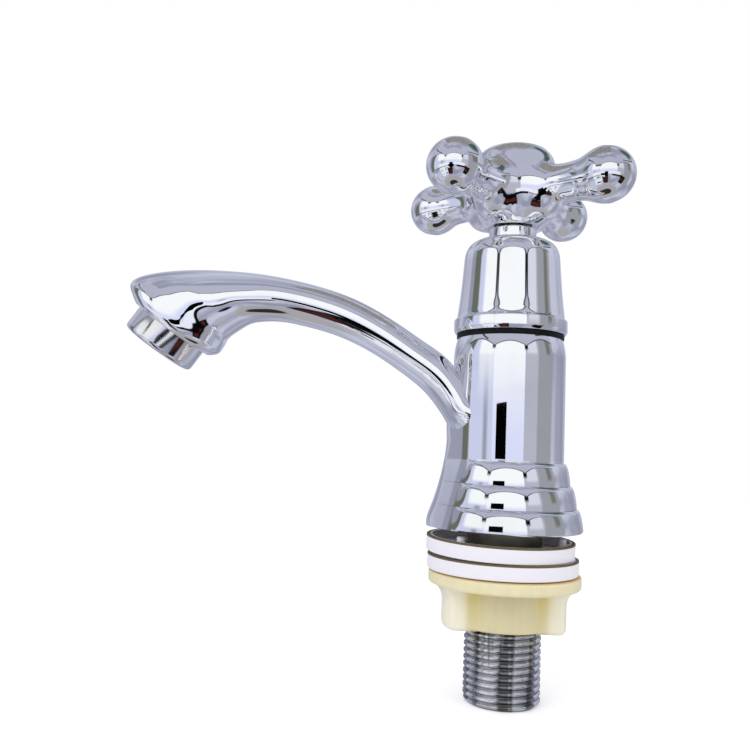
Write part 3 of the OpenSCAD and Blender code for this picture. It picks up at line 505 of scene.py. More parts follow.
class Shape:
    """A mesh in the making, in millimetres, shaped by bmesh operators."""

    def __init__(self) -> None:
        """Starts with an empty mesh."""
        self.bm = bmesh.new()

    def spin(self, outline: Sequence[Point], steps: int, closed: bool, climb: float = 0.0) -> None:
        """Spins an outline once round the Z axis, climbing as it goes where climb isn't 0."""
        verts = [self.bm.verts.new((radius, 0.0, height)) for radius, height in outline]
        pairs = list(zip(verts, verts[1:])) + ([(verts[-1], verts[0])] if closed else [])
        edges = [self.bm.edges.new(pair) for pair in pairs]
        bmesh.ops.spin(self.bm, geom=[*verts, *edges], cent=(0, 0, 0), axis=(0, 0, 1), dvec=(0, 0, climb / steps),
                       angle=math.tau, steps=steps, use_merge=climb == 0, use_normal_flip=False,
                       use_duplicate=False)

    def turn(self, outline: Sequence[Point], steps: int = 160, closed: bool = True) -> Verts:
        """Turns an outline of radius and height round the Z axis.

        Args:
            outline: The outline's points.
            steps: How many sides the full turn has.
            closed: Whether the outline joins up with itself.

        Returns:
            The new vertices.
        """
        before = set(self.bm.verts)
        self.spin(outline, steps, closed)
        made = [vert for vert in self.bm.verts if vert not in before]
        on_axis = [vert for vert in made if math.hypot(vert.co.x, vert.co.y) < 1e-4]
        bmesh.ops.remove_doubles(self.bm, verts=on_axis, dist=1e-3)
        return [vert for vert in made if vert.is_valid]

    @classmethod
    def turned(cls, outline: Sequence[Point], steps: int = 160) -> "Shape":
        """Returns a new shape that is one closed outline turned round the Z axis."""
        shape = cls()
        shape.turn(outline, steps)
        return shape

    def thread(self, outline: Sequence[Point], turns: int, pitch: float, sides: int = 96) -> None:
        """Winds one turn of a thread's outline, copies it up the Z axis and welds the turns together."""
        self.spin(outline, sides, False, pitch)
        wound = [*self.bm.verts, *self.bm.edges, *self.bm.faces]
        for turn in range(1, turns):
            copied = bmesh.ops.duplicate(self.bm, geom=wound)["geom"]
            bmesh.ops.translate(self.bm, vec=(0, 0, pitch * turn),
                                verts=[item for item in copied if isinstance(item, bmesh.types.BMVert)])
        bmesh.ops.remove_doubles(self.bm, verts=self.bm.verts, dist=0.005)

    def loft(self, sections: Sequence[Sequence[Vector]]) -> Verts:
        """Extrudes a closed ring from section to section and caps both ends.

        Args:
            sections: The sections, each with the same number of points in order.

        Returns:
            The new vertices.
        """
        ring = bmesh.ops.create_circle(self.bm, segments=len(sections[0]), radius=1.0)["verts"]
        made = list(ring)
        edges = edges_of(ring)
        for vert, place in zip(ring, sections[0]):
            vert.co = place
        first = edges
        for section in sections[1:]:
            out = bmesh.ops.extrude_edge_only(self.bm, edges=edges)["geom"]
            fresh = {item for item in out if isinstance(item, bmesh.types.BMVert)}
            edges = [item for item in out if isinstance(item, bmesh.types.BMEdge)
                     and all(vert in fresh for vert in item.verts)]
            ring = [next(edge.other_vert(vert) for edge in vert.link_edges if edge.other_vert(vert) in fresh)
                    for vert in ring]
            for vert, place in zip(ring, section):
                vert.co = place
            made += ring
        for rim in (first, edges):
            bmesh.ops.contextual_create(self.bm, geom=rim)
        return made

    def ball(self, radius: float, place: Sequence[float], sides: int = 32) -> None:
        """Adds a sphere."""
        bmesh.ops.create_uvsphere(self.bm, u_segments=sides, v_segments=sides // 2, radius=radius,
                                  matrix=Matrix.Translation(place))

    def block(self, size: Sequence[float], place: Sequence[float], edge: float = 0.0) -> Verts:
        """Adds a box.

        Args:
            size: Its size along each axis.
            place: Its middle.
            edge: The radius of its rounded edges, or 0 for sharp ones.

        Returns:
            The new vertices.
        """
        verts = bmesh.ops.create_cube(self.bm, size=1.0, matrix=Matrix.Translation(place)
                                      @ Matrix.Diagonal((*size, 1.0)))["verts"]
        if edge > 0:
            verts = bmesh.ops.bevel(self.bm, geom=edges_of(verts), offset=edge, segments=3, profile=0.5,
                                    affect="EDGES", material=-1)["verts"]
        return verts

    def move(self, verts: Iterable[bmesh.types.BMVert], matrix: Matrix) -> None:
        """Moves vertices by a matrix."""
        bmesh.ops.transform(self.bm, matrix=matrix, verts=list(verts))

    def cut(self, place: Sequence[float], normal: Sequence[float]) -> None:
        """Cuts away what lies in front of a plane and leaves the cut open."""
        bmesh.ops.bisect_plane(self.bm, geom=[*self.bm.verts, *self.bm.edges, *self.bm.faces],
                               plane_co=place, plane_no=normal, clear_outer=True, dist=1e-5)

    def mesh(self, name: str, scale: float = MM) -> bpy.types.Mesh:
        """Turns the faces outwards, scales the mesh and returns it."""
        bmesh.ops.recalc_face_normals(self.bm, faces=self.bm.faces)
        bmesh.ops.scale(self.bm, vec=(scale, scale, scale), verts=self.bm.verts)
        made = bpy.data.meshes.new(name)
        self.bm.to_mesh(made)
        self.bm.free()
        return made


@dataclass
class Part:
    """One finished piece of the tap: where it goes and what it stands for."""

    name: str
    body: str
    finish: Palette
    slot: str
    nodes: tuple[str, ...]
    crease: float = 32.0

    def place(self, shape: Shape) -> None:
        """Puts a finished shape in the scene as this piece."""
        mesh = shape.mesh(self.name)
        mesh.shade_smooth()
        mesh.set_sharp_from_angle(angle=math.radians(self.crease))
        mesh.materials.append(self.finish.value.material())
        piece = added(self.name, mesh)
        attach(piece, self.body)
        if self.nodes:
            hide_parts(*self.nodes)
        LOG.info("%s: %d faces", self.name, len(mesh.polygons))


class Casting:
    """A cast or moulded piece whose forms flow into each other.

    Overlapping forms are joined by a remesh, and every vertex is then drawn onto the blended surface.
    """

    voxel: float = 0.5
    rounds: int = 3

    def forms(self) -> Shape:
        """Returns the overlapping forms."""
        raise NotImplementedError

    def distance(self, place: np.ndarray) -> np.ndarray:
        """Returns how far each point is outside the blended surface."""
        raise NotImplementedError

    def blended(self) -> Shape:
        """Joins the forms, draws the mesh onto the blended surface and returns it."""
        rough = added("rough", self.forms().mesh("rough", 1.0))
        remesh = rough.modifiers.new("Join", "REMESH")
        remesh.mode = "VOXEL"
        remesh.voxel_size = self.voxel
        whole = bpy.data.meshes.new_from_object(rough.evaluated_get(bpy.context.evaluated_depsgraph_get()))
        bpy.data.objects.remove(rough)
        shape = Shape()
        shape.bm.from_mesh(whole)
        bpy.data.meshes.remove(whole)
        for turn in range(self.rounds):
            bmesh.ops.smooth_vert(shape.bm, verts=shape.bm.verts, factor=0.5, use_axis_x=True,
                                  use_axis_y=True, use_axis_z=True)
            self.draw_in(shape.bm.verts, 4 if turn == self.rounds - 1 else 2)
        return shape

    def draw_in(self, verts: Sequence[bmesh.types.BMVert], steps: int) -> None:
        """Moves vertices along the distance's slope until they lie on the surface."""
        place = np.array([vert.co for vert in verts], float)
        reach = 0.01
        for _ in range(steps):
            away = self.distance(place)
            slope = np.stack([(self.distance(place + shift) - self.distance(place - shift)) / (2 * reach)
                              for shift in np.eye(3) * reach], axis=1)
            place -= slope * (away / np.maximum((slope ** 2).sum(1), 0.05))[:, None]
        for vert, spot in zip(verts, place):
            vert.co = spot

    @staticmethod
    def join(first: np.ndarray, second: np.ndarray, blend: float) -> np.ndarray:
        """Joins two forms by their distances.

        Args:
            first: The distances from the first form.
            second: The distances from the second form.
            blend: How far the fillet between them reaches.

        Returns:
            The distances from both together.
        """
        share = np.maximum(blend - np.abs(first - second), 0) / blend
        return np.minimum(first, second) - share ** 3 * blend / 6

    @staticmethod
    def keep(first: np.ndarray, second: np.ndarray, blend: float) -> np.ndarray:
        """Returns the rounded intersection of two distances."""
        return -Casting.join(-first, -second, blend)


# The tap's sub-assemblies


@dataclass
class Body:
    """The cast body: a pillar on a three-ringed foot, and the swan-neck spout with its duck-bill mouth."""

    pillar_r: float = 15.6
    pillar_h: float = 52.6
    taper: float = 0.9
    taper_h: float = 5.6
    foot_r: float = 21.1
    flare_h: float = 18.6
    rings: int = 3
    groove: float = 0.12
    bulge: tuple[tuple[float, int], ...] = ((0.12, 1), (0.56, 2), (0.32, 17))
    ring_rows: int = 36
    shaft_rows: int = 64
    top_rows: int = 14
    nose: tuple[Point, ...] = ((0.0, 22.0), (1.2, 22.0), (2.6, 21.8), (4.0, 21.35), (6.8, 20.35), (9.6, 19.5),
                               (12.4, 18.75), (15.2, 18.1), (18.0, 17.6), (20.8, 17.2), (23.6, 17.0), (26.0, 17.1),
                               (28.4, 17.1), (31.0, 16.4), (35.0, 15.6))
    nose_turn: float = 29.5
    nose_round: float = 2.5
    blend_top: float = 35.0
    nose_back: float = 2.0
    fade_end: float = 50.0
    fade_width: float = 12.0
    hollow_r: float = 19.2
    hollow_low_z: float = 4.0
    hollow_top: Point = (14.2, 8.0)
    bore_r: float = 10.4
    bore_low_z: float = 22.0
    water_r: float = 5.2
    crotch_drop: float = 6.8
    mouth_reach: float = 96.7
    mouth_z: float = 52.3
    mouth_lean: float = 34.5
    mouth_length: float = 24.6
    mouth_width: float = 27.4
    crown_z: float = 69.4
    neck_depth: float = 11.6
    neck_width: float = 13.4
    square: float = 2.15
    sides: int = 72
    steps: int = 8

    def pillar_outline(self) -> list[Point]:
        """Returns the pillar's closed outline, hollow under the foot and bored for the headwork."""
        step = (self.foot_r - self.pillar_r) / self.rings
        height = self.flare_h / self.rings
        outline: list[Point] = [(self.foot_r - 0.34, 0.0), (self.foot_r - 0.02, 0.3)]
        for ring in range(self.rings):
            for index in range(self.ring_rows):
                share = index / self.ring_rows
                fall = sum(part * share ** power for part, power in self.bulge)
                outline.append((self.foot_r - step * (ring + fall), max(height * (ring + share), 0.32)))
            top, out = height * (ring + 1), self.foot_r - step * (ring + 1)
            outline += [(out + 0.03, top - 0.09), (out - self.groove, top), (out - 0.01, top + 0.12)]
        shaft = self.pillar_h - self.taper_h - self.flare_h
        outline += [(self.pillar_r, self.flare_h + shaft * (index + 0.5) / self.shaft_rows)
                    for index in range(self.shaft_rows)]
        for index in range(self.top_rows + 1):
            share = index / self.top_rows
            outline.append((self.pillar_r - self.taper * share * share,
                            self.pillar_h - self.taper_h * (1 - share)))
        return outline + [(self.bore_r, self.pillar_h), (self.bore_r, self.bore_low_z),
                          (self.water_r, self.bore_low_z), (self.water_r, self.hollow_top[1]), self.hollow_top,
                          (self.hollow_r, self.hollow_low_z), (self.hollow_r, 0.0)]

    def rim(self, along: float, depth: float) -> Point:
        """Returns a point beside the mouth's line, from its middle and from its face."""
        lean = math.radians(self.mouth_lean)
        return (-self.mouth_reach + along * math.cos(lean) + depth * math.sin(lean),
                self.mouth_z - along * math.sin(lean) + depth * math.cos(lean))

    def back(self, share: float, drop: float) -> Point:
        """Returns a point by its share of the reach and its share of the drop from crown to crotch."""
        return (-(self.pillar_r + (self.mouth_reach - self.pillar_r) * share),
                self.crown_z - (self.crown_z - self.pillar_h + self.crotch_drop) * drop)

    def stations(self) -> list[tuple[float, ...]]:
        """Returns the spout's stations: back point, underside point and width at each."""
        half = self.mouth_length / 2
        wide, neck = self.mouth_width, self.neck_width
        crotch = self.pillar_h - self.crotch_drop

        def under(share: float, drop: float, out: float, down: float) -> Point:
            """Returns the underside point that faces a back point."""
            back = self.back(share, drop)
            return back[0] + self.neck_depth * out, back[1] + self.neck_depth * down

        rows: list[tuple[Point, Point, float]] = [
            (self.rim(-half, 0), self.rim(half, 0), wide - 1.8),
            (self.rim(-half - 1.8, 1), self.rim(half + 1.3, 1.1), wide - 0.4),
            (self.rim(-half - 4.1, 2.6), self.rim(half + 2.3, 2.6), wide),
            (self.rim(-half - 4.6, 4.5), self.rim(half + 2.2, 5.2), wide - 0.1),
            (self.back(1.094, 0.09), self.rim(half + 1.9, 7.7), wide - 0.6),
            (self.back(1.01, 0.034), self.back(0.757, 0.678), wide - 2),
            (self.back(0.906, 0), self.back(0.723, 0.608), wide - 5),
            (self.back(0.792, 0), self.back(0.678, 0.583), wide - 8.4),
            (self.back(0.678, 0.023), self.back(0.624, 0.578), neck + 2.6),
            (self.back(0.53, 0.106), self.back(0.554, 0.61), neck + 0.8),
            (self.back(0.371, 0.258), under(0.423, 0.258, 0, -0.933), neck),
            (self.back(0.233, 0.494), under(0.233, 0.494, -0.5, -0.805), neck + 0.3),
            (self.back(0.114, 0.758), under(0.114, 0.758, -0.6, -0.715), neck + 1.6),
            (self.back(0.02, 0.972), under(0.02, 0.972, -0.59, -0.763), neck + 3.6),
            ((-self.pillar_r + 4, crotch - 6.5), (-self.pillar_r - 3.5, crotch - 14.2), neck + 4.6),
            ((-self.pillar_r + 12, crotch - 13), (-self.pillar_r - 1.5, crotch - 17.4), neck + 8.4),
        ]
        for front, height in ((self.pillar_r - 0.5, 24.8), (self.pillar_r - 2.4, 20.0)):
            rows.append(((front * 0.6, height), (-front, height), front * 1.26))
        return [(*back, *low, width) for back, low, width in rows]

    def section(self, row: Sequence[float]) -> list[Vector]:
        """Returns one closed section of the spout as points round it."""
        back, low, half = Vector(row[0:2]), Vector(row[2:4]), row[4] / 2
        middle, depth = (back + low) / 2, (back - low).length / 2
        up = (back - low).normalized()
        points = []
        for index in range(self.sides):
            turn = math.tau * (index + 0.5) / self.sides
            across, high = (math.copysign(abs(value) ** (2 / self.square), value)
                            for value in (math.cos(turn), math.sin(turn)))
            spot = middle + up * depth * high
            points.append(Vector((half * across, spot.x, spot.y)))
        return points

    def sections(self) -> list[list[Vector]]:
        """Returns the spout's sections, evened out along its length."""
        rows = np.array(flowing(self.stations(), self.steps))
        first = 5 * self.steps
        for _ in range(10):
            rows[first:-1] = (rows[first - 1:-2] + 2 * rows[first:-1] + rows[first + 1:]) / 4
        return [self.section(row) for row in rows]

    def front(self, plain: float, nose: float, aside: float) -> float:
        """Returns the radius where flat flanks run from the pillar's round to a small round nose.

        Args:
            plain: The radius without the nose.
            nose: The nose's own reach.
            aside: The angle from the front, in degrees.

        Returns:
            The radius at that angle.
        """
        if nose <= plain + 0.01:
            return plain
        here = math.radians(aside)
        turn = max(math.radians(self.nose_turn),
                   math.acos((plain - self.nose_round) / (nose - self.nose_round)))
        if here >= turn:
            return plain
        away = (nose - plain) / (1 - math.cos(turn))
        small = nose - away
        edge = math.atan2(small * math.sin(turn), away + small * math.cos(turn))
        if here < edge:
            return away * math.cos(here) + math.sqrt(max(small ** 2 - (away * math.sin(here)) ** 2, 0.0))
        return max(plain, (away * math.cos(turn) + small) / math.cos(turn - here))

    def swell(self, pillar: Shape) -> None:
        """Swells the pillar's front into a nose under the spout's root, where the rings fade out.

        Args:
            pillar: The turned pillar.
        """
        curve = np.array(flowing(self.nose, 6))
        for vert in pillar.bm.verts:
            height, reach = vert.co.z, math.hypot(vert.co.x, vert.co.y)
            if reach < self.pillar_r - 0.2 or vert.co.y > self.nose_back or not 0 <= height < self.blend_top:
                continue
            if reach < self.hollow_r + 0.01 and height < self.hollow_low_z + 0.1:
                continue
            aside = math.degrees(abs(math.atan2(vert.co.x, -vert.co.y)))
            plain = self.foot_r - (self.foot_r - self.pillar_r) * min(height / self.flare_h, 1)
            fade = min(max((self.fade_end - aside) / self.fade_width, 0.0), 1.0)
            fade *= fade * (3 - 2 * fade)
            base = reach + (plain - reach) * fade if height < self.flare_h + 0.05 else reach
            base = self.front(base, float(np.interp(height, curve[:, 0], curve[:, 1])), aside)
            way = Vector((vert.co.x / reach, vert.co.y / reach, 0.0))
            if base > reach or height < self.flare_h + 0.05:
                vert.co.x, vert.co.y = way.x * base, way.y * base

    def build(self) -> None:
        """Makes the pillar and the spout."""
        pillar, spout = Shape(), Shape()
        pillar.turn(self.pillar_outline(), 256)
        spout.loft(self.sections())
        self.swell(pillar)
        spout.cut((0, 0, 24), (0, 0, -1))
        Part("pillar", "tap", Palette.CHROME, "body_chrome", ("tap_body",), 14.0).place(pillar)
        Part("spout", "tap", Palette.CHROME, "body_chrome", ("tap_body",)).place(spout)


@dataclass
class Bonnet:
    """The bell over the headwork, the black ring under it and the narrow ring that holds it down."""

    low_z: float = 54.0
    top_z: float = 81.3
    lip_r: float = 15.9
    gasket_z: float = 52.6
    gasket_r: float = 15.05
    ring_r: float = 6.7
    ring_top_z: float = 84.4

    def bell_outline(self) -> list[Point]:
        """Returns the bell's closed outline."""
        low = self.low_z
        lip = rounded([(12.6, low), (self.lip_r - 0.5, low, 0.3), (self.lip_r, low + 1.0, 0.8),
                       (self.lip_r, low + 3.8, 0.6), (15.15, low + 4.4, 0.2), (15.02, low + 5.2)], 6, closed=False)
        side = flowing([(14.99, 59.5), (14.62, 62.4), (14.27, 65.8), (13.96, 69.3), (13.7, 72.8), (13.53, 75.2),
                        (13.32, 76.9), (12.8, 78.4), (11.85, 79.65), (10.4, 80.55), (8.8, 81.1), (7.2, 81.3)], 6)
        return [*lip, *side[1:], (5.6, self.top_z), (5.6, 80.0), (11.4, 79.0), (12.6, 74.0)]

    def build(self) -> None:
        """Makes the three pieces."""
        bell = Shape.turned(self.bell_outline(), 192)
        Part("bonnet_bell", "tap", Palette.CHROME, "body_chrome", ("bonnet_cover",)).place(bell)
        gasket = Shape.turned(rounded([(12.5, self.gasket_z), (self.gasket_r, self.gasket_z, 0.35),
                                       (self.gasket_r, self.low_z, 0.35), (12.5, self.low_z)]))
        Part("bonnet_gasket_ring", "tap", Palette.RUBBER, "seal_rubber",
             ("bonnet_gasket",)).place(gasket)
        ring = Shape.turned(rounded([(5.4, self.top_z), (self.ring_r, self.top_z, 0.3),
                                     (self.ring_r, self.ring_top_z, 0.45), (5.4, self.ring_top_z)]), 128)
        Part("neck_ring", "tap", Palette.CHROME, "body_chrome", ("bonnet_ring",)).place(ring)


@dataclass
class Handle(Casting):
    """The cast cross handle: a domed hub and four ball-ended arms, with the button on top."""

    foot_z: float = 84.85
    arm_z: float = 95.25
    top_z: float = 108.02
    rest: float = 49.4
    arms: int = 4
    reach: float = 28.8
    ball_r: float = 7.44
    waist_r: float = 5.4
    root_r: float = 7.4
    waist_out: float = 17.5
    web_start: Point = (3.5, 90.5)
    web_run: Point = (5.7, 0.9)
    web_r: float = 5.85
    arm_ends: Point = (2.0, 27.5)
    ball_join: float = 4.6
    flare_in: float = 8.5
    flare_out: float = 6.7
    flare_most: float = 1.3
    top_blend: float = 1.6
    ball_blend: float = 3.6
    web_blend: float = 3.0
    hub_blend: float = 5.0
    foot_blend: float = 0.5
    cap_r: float = 5.6
    hub: tuple[Point, ...] = ((84.85, 6.75), (86.0, 7.1), (88.0, 8.0), (90.5, 9.6), (93.0, 11.0), (96.0, 11.6),
                              (100.0, 11.5), (102.6, 11.45), (104.4, 11.2), (105.6, 10.6), (106.8, 9.55),
                              (107.6, 8.3), (108.2, 7.0), (109.0, 5.0))

    def angles(self) -> list[float]:
        """Returns the arms' directions in radians."""
        return [math.radians(self.rest + 360 * arm / self.arms) for arm in range(self.arms)]

    def arm_radius(self, out: np.ndarray) -> np.ndarray:
        """Returns an arm's radius at a distance from the hub's axis."""
        join = math.sqrt(self.ball_r ** 2 - self.ball_join ** 2)
        past = out - self.waist_out
        inner = (self.root_r - self.waist_r) * np.clip(-past / self.flare_in, 0, self.flare_most) ** 2
        outer = (join - self.waist_r) * np.clip(past / self.flare_out, 0, self.flare_most) ** 2
        return self.waist_r + np.where(past < 0, inner, outer)

    def forms(self) -> Shape:
        """Returns the hub, arms, webs and balls, overlapping."""
        shape = Shape()
        outline = [(0.0, self.foot_z), *[(radius, height) for height, radius in self.hub[:-2]], (0.0, self.top_z)]
        shape.turn(outline, 64, closed=False)
        for angle in self.angles():
            turn = Matrix.Rotation(angle, 4, "Z")
            arm = shape.turn([(0.0, 0.0), (self.root_r, 4.0), (self.root_r, 9.0), (self.waist_r, self.waist_out),
                              (6.0, 25.0), (0.0, 25.0)], 40, closed=False)
            shape.move(arm, turn @ Matrix.Translation((0, 0, self.arm_z)) @ spun(90, "Y"))
            out = Vector((math.cos(angle), math.sin(angle), 0))
            shape.ball(self.ball_r, out * self.reach + Vector((0, 0, self.arm_z)))
            shape.ball(5.8, out * 9.2 + Vector((0, 0, 91.4)))
        return shape

    def distance(self, place: np.ndarray) -> np.ndarray:
        """Returns how far each point is outside the blended handle."""
        across, along, height = place.T
        radius = np.hypot(across, along)
        curve = np.array(flowing(self.hub, 8))
        wall = np.interp(height, curve[:, 0], curve[:, 1])
        lean = np.interp(height, curve[:, 0], np.gradient(curve[:, 1], curve[:, 0]))
        hub = (radius - wall) / np.sqrt(1 + np.minimum(lean ** 2, 9))
        whole = self.keep(hub, height - self.top_z, self.top_blend)
        run, climb = self.web_run
        for angle in self.angles():
            out = across * math.cos(angle) + along * math.sin(angle)
            side = -across * math.sin(angle) + along * math.cos(angle)
            up = height - self.arm_z
            ends = np.maximum(out - self.arm_ends[1], self.arm_ends[0] - out)
            arm = np.maximum(np.hypot(side, up) - self.arm_radius(out), ends)
            ball = np.sqrt((out - self.reach) ** 2 + side ** 2 + up ** 2) - self.ball_r
            far, high = out - self.web_start[0], height - self.web_start[1]
            share = np.clip((far * run + high * climb) / (run ** 2 + climb ** 2), 0, 1)
            web = np.sqrt((far - run * share) ** 2 + side ** 2 + (high - climb * share) ** 2) - self.web_r
            limb = self.join(self.join(arm, ball, self.ball_blend), web, self.web_blend)
            whole = self.join(whole, limb, self.hub_blend)
        return self.keep(whole, self.foot_z - height, self.foot_blend)

    def build(self) -> None:
        """Makes the cross and its button."""
        Part("handle_cross_skin", "handle", Palette.CHROME, "body_chrome", ("handle_cross",),
             60.0).place(self.blended())
        cap = Shape()
        top = self.top_z
        cap.turn([(0.0, top - 2), (self.cap_r - 1, top - 2), (self.cap_r - 0.1, top - 1), (self.cap_r, top - 0.1)]
                 + flowing([(self.cap_r, top), (self.cap_r - 0.5, top + 0.1),
                            (self.cap_r * 0.5, top + 0.19), (0.0, top + 0.22)], 5), 96, closed=False)
        Part("handle_button", "handle", Palette.CHROME, "body_chrome", ("handle_cap",)).place(cap)


@dataclass
class Aerator:
    """The turned collar that is screwed into the mouth."""

    lean: float = 34.5
    middle: tuple[float, float] = (-96.8, 52.3)
    outer_r: float = 10.88
    height: float = 7.0
    edge: float = 1.5
    thread_r: float = 9.9
    bore_r: float = 8.6
    lip_r: float = 7.8

    def build(self) -> None:
        """Makes the collar in the mouth's own frame."""
        shape = Shape.turned(rounded([
            (self.lip_r, -self.height, 0.2), (self.outer_r, -self.height, self.edge), (self.outer_r, -0.05, 0.15),
            (self.thread_r, -0.05), (self.thread_r, 5.4), (self.bore_r, 5.4),
            (self.bore_r, 1.1 - self.height), (self.lip_r, 1.1 - self.height)], 8), 128)
        shape.move(shape.bm.verts, Matrix.Translation((0, *self.middle)) @ spun(-self.lean, "X"))
        Part("aerator_collar", "tap", Palette.COLLAR, "collar_chrome",
             ("aerator_housing",)).place(shape)


@dataclass
class Tail:
    """The threaded tail that goes through the basin."""

    crest_r: float = 10.478
    depth: float = 0.6
    pitch: float = 1.814
    bore_r: float = 6.6
    low_z: float = -46.6
    top_z: float = -6.0
    neck_r: float = 10.3
    neck_top_z: float = 12.0
    lead: float = 1.0
    rows: int = 10
    swing: float = 0.62

    def build(self) -> None:
        """Winds the thread, trims its ends, chamfers its lead and bores it."""
        shape = Shape()
        outline = []
        for index in range(self.rows + 1):
            share = index / self.rows
            wave = min(max(0.5 - self.swing * math.cos(math.tau * share), 0.0), 1.0)
            outline.append((self.crest_r - self.depth * (1 - wave),
                            self.low_z - self.pitch + self.pitch * share))
        turns = math.ceil((self.top_z - self.low_z) / self.pitch) + 2
        shape.thread(outline, turns, self.pitch)
        shape.cut((0, 0, self.low_z), (0, 0, -1))
        shape.cut((0, 0, self.top_z), (0, 0, 1))
        for vert in shape.bm.verts:
            reach = math.hypot(vert.co.x, vert.co.y)
            limit = self.crest_r - self.lead + max(vert.co.z - self.low_z, 0.0)
            if reach > limit:
                vert.co.x *= limit / reach
                vert.co.y *= limit / reach
        for height in (self.low_z, self.top_z):
            rim = [edge for edge in shape.bm.edges if edge.is_boundary
                   and all(abs(vert.co.z - height) < 0.01 for vert in edge.verts)]
            bore = bmesh.ops.create_circle(shape.bm, segments=96, radius=self.bore_r,
                                           matrix=Matrix.Translation((0, 0, height)))["verts"]
            bmesh.ops.bridge_loops(shape.bm, edges=[*rim, *edges_of(bore)])
        bores = [edge for edge in shape.bm.edges if edge.is_boundary]
        bmesh.ops.bridge_loops(shape.bm, edges=bores)
        Part("threaded_tail", "tap", Palette.TAIL, "tail_metal", ("shank",), 50.0).place(shape)
        # The neck is finished dark olive as painted shade, where it shows in the gap under the foot.
        neck = Shape.turned(rounded([(self.bore_r, self.top_z), (self.neck_r, self.top_z, 0.3),
                                     (self.neck_r, self.neck_top_z), (self.bore_r, self.neck_top_z)]), 128)
        Part("tail_neck", "tap", Palette.NECK_SHADE, "tail_metal", ("shank",)).place(neck)


@dataclass
class Washer:
    """One cup-shaped plastic washer, with locating pegs on the upper one."""

    name: str
    node: str
    radius: float
    height: float
    top_z: float
    shift: float
    tilt: float = 0.0
    pegs: int = 0
    tilt_side: float = 35.0
    peg_r: float = 1.1
    peg_in: float = 1.9
    rim_depth: float = 1.0
    rim_out: float = 0.02
    hole_r: float = 12.4
    wall: float = 1.7
    floor: float = 1.4

    def build(self) -> None:
        """Makes the washer and tips it as it lies."""
        inner, low = self.radius - self.wall, self.floor - self.height
        shape = Shape.turned(rounded([
            (self.hole_r, -self.height, 0.15), (self.radius, -self.height, 0.4), (self.radius, 0.0, 0.7),
            (inner, 0.0, 0.3), (inner, low, 0.3), (self.hole_r, low, 0.15)]))
        for index in range(self.pegs):
            way = spun(-45 + 360 * index / self.pegs)
            side = rounded([(self.peg_r, low), (self.peg_r - 0.02, 1.1, 0.5), (0.0, 1.1)], 6, closed=False)
            peg = shape.turn([(0.0, low), *side], 32, closed=False)
            shape.move(peg, way @ Matrix.Translation((inner - self.peg_in, 0, 0)))
            web = shape.block((self.peg_in, self.peg_r, -low - 0.4), (0, 0, 0), 0.1)
            shape.move(web, way @ Matrix.Translation((inner - 0.8, 0, (low - 0.4) / 2)))
        # A thin ring over the top rim carries the painted shade of the rim.
        within, beyond = self.radius - self.rim_depth, self.radius + self.rim_out
        rim = Shape.turned(rounded([(within, -0.3), (beyond, -0.5, 0.1), (beyond, self.rim_out, 0.4),
                                    (within, self.rim_out, 0.1)]))
        lie = Matrix.Translation((0, -self.shift, self.top_z)) @ (
            spun(self.tilt_side) @ spun(self.tilt, "Y") @ spun(-self.tilt_side))
        for piece, name, finish in ((shape, self.name, Palette.WASHER), (rim, self.name + "_rim", Palette.RIM_SHADE)):
            piece.move(piece.bm.verts, lie)
            Part(name, "washers", finish, "washer_plastic", (self.node,)).place(piece)


@dataclass
class WingNut(Casting):
    """The moulded nut: a flange, a threaded hub and two wings."""

    top_z: float = -11.711
    height: float = 16.2
    flange_r: float = 20.8
    flange_h: float = 3.4
    hub_r: float = 12.9
    wing_r: float = 17.05
    wing_width: float = 17.0
    wing_short: float = 1.0
    hub_short: float = 1.7
    bore_r: float = 10.54
    cone_h: float = 5.0
    cone_drop: float = 4.6
    cone_power: float = 2.2
    cone_out: float = 6.0
    wing_corner: float = 3.0
    wing_edge: float = 2.0
    rim_edge: float = 1.4
    fillet: float = 1.2
    edge: float = 0.8

    def forms(self) -> Shape:
        """Returns the flange, hub and wings, overlapping, with the bore through them."""
        low = self.top_z - self.height
        shape = Shape()
        foot = low + self.hub_short
        shape.turn([(self.bore_r, foot), (self.hub_r, foot), (self.hub_r, self.top_z - self.flange_h),
                    (self.flange_r, self.top_z - self.flange_h), (self.flange_r, self.top_z),
                    (self.bore_r, self.top_z)], 64)
        for side in (-1, 1):
            shape.block((self.wing_width, 6.0, self.height - 2), (0, side * 14.0, low + self.height / 2))
        return shape

    def distance(self, place: np.ndarray) -> np.ndarray:
        """Returns how far each point is outside the moulded nut."""
        across, along, height = place.T
        radius = np.hypot(across, along)
        low = self.top_z - self.height
        under = self.top_z - self.flange_h
        over = height - self.top_z
        flange = self.keep(radius - self.flange_r, np.maximum(over, under - 0.2 - height), self.rim_edge)
        hub = self.keep(radius - self.hub_r, np.maximum(low + self.hub_short - height, over + 0.5), self.edge)
        cone = np.clip(height - (under - self.cone_drop), 0, self.cone_h) / self.cone_h
        reach = self.wing_r + (self.flange_r - self.wing_r - 0.4) * cone ** self.cone_power
        box = self.keep(np.abs(across) - self.wing_width / 2,
                        np.abs(along) - self.wing_r - self.cone_out * cone, self.wing_corner)
        wing = self.keep(self.keep(box, radius - reach, 1.0), low + self.wing_short - height, self.wing_edge)
        wing = self.keep(wing, over + 0.5, 0.5)
        whole = self.join(self.join(hub, wing, self.fillet), flange, self.fillet)
        return self.keep(whole, self.bore_r - radius, self.edge)

    def build(self) -> None:
        """Makes the nut."""
        Part("wing_nut", "nut", Palette.NYLON, "nut_plastic", ("lock_nut",), 60.0).place(self.blended())


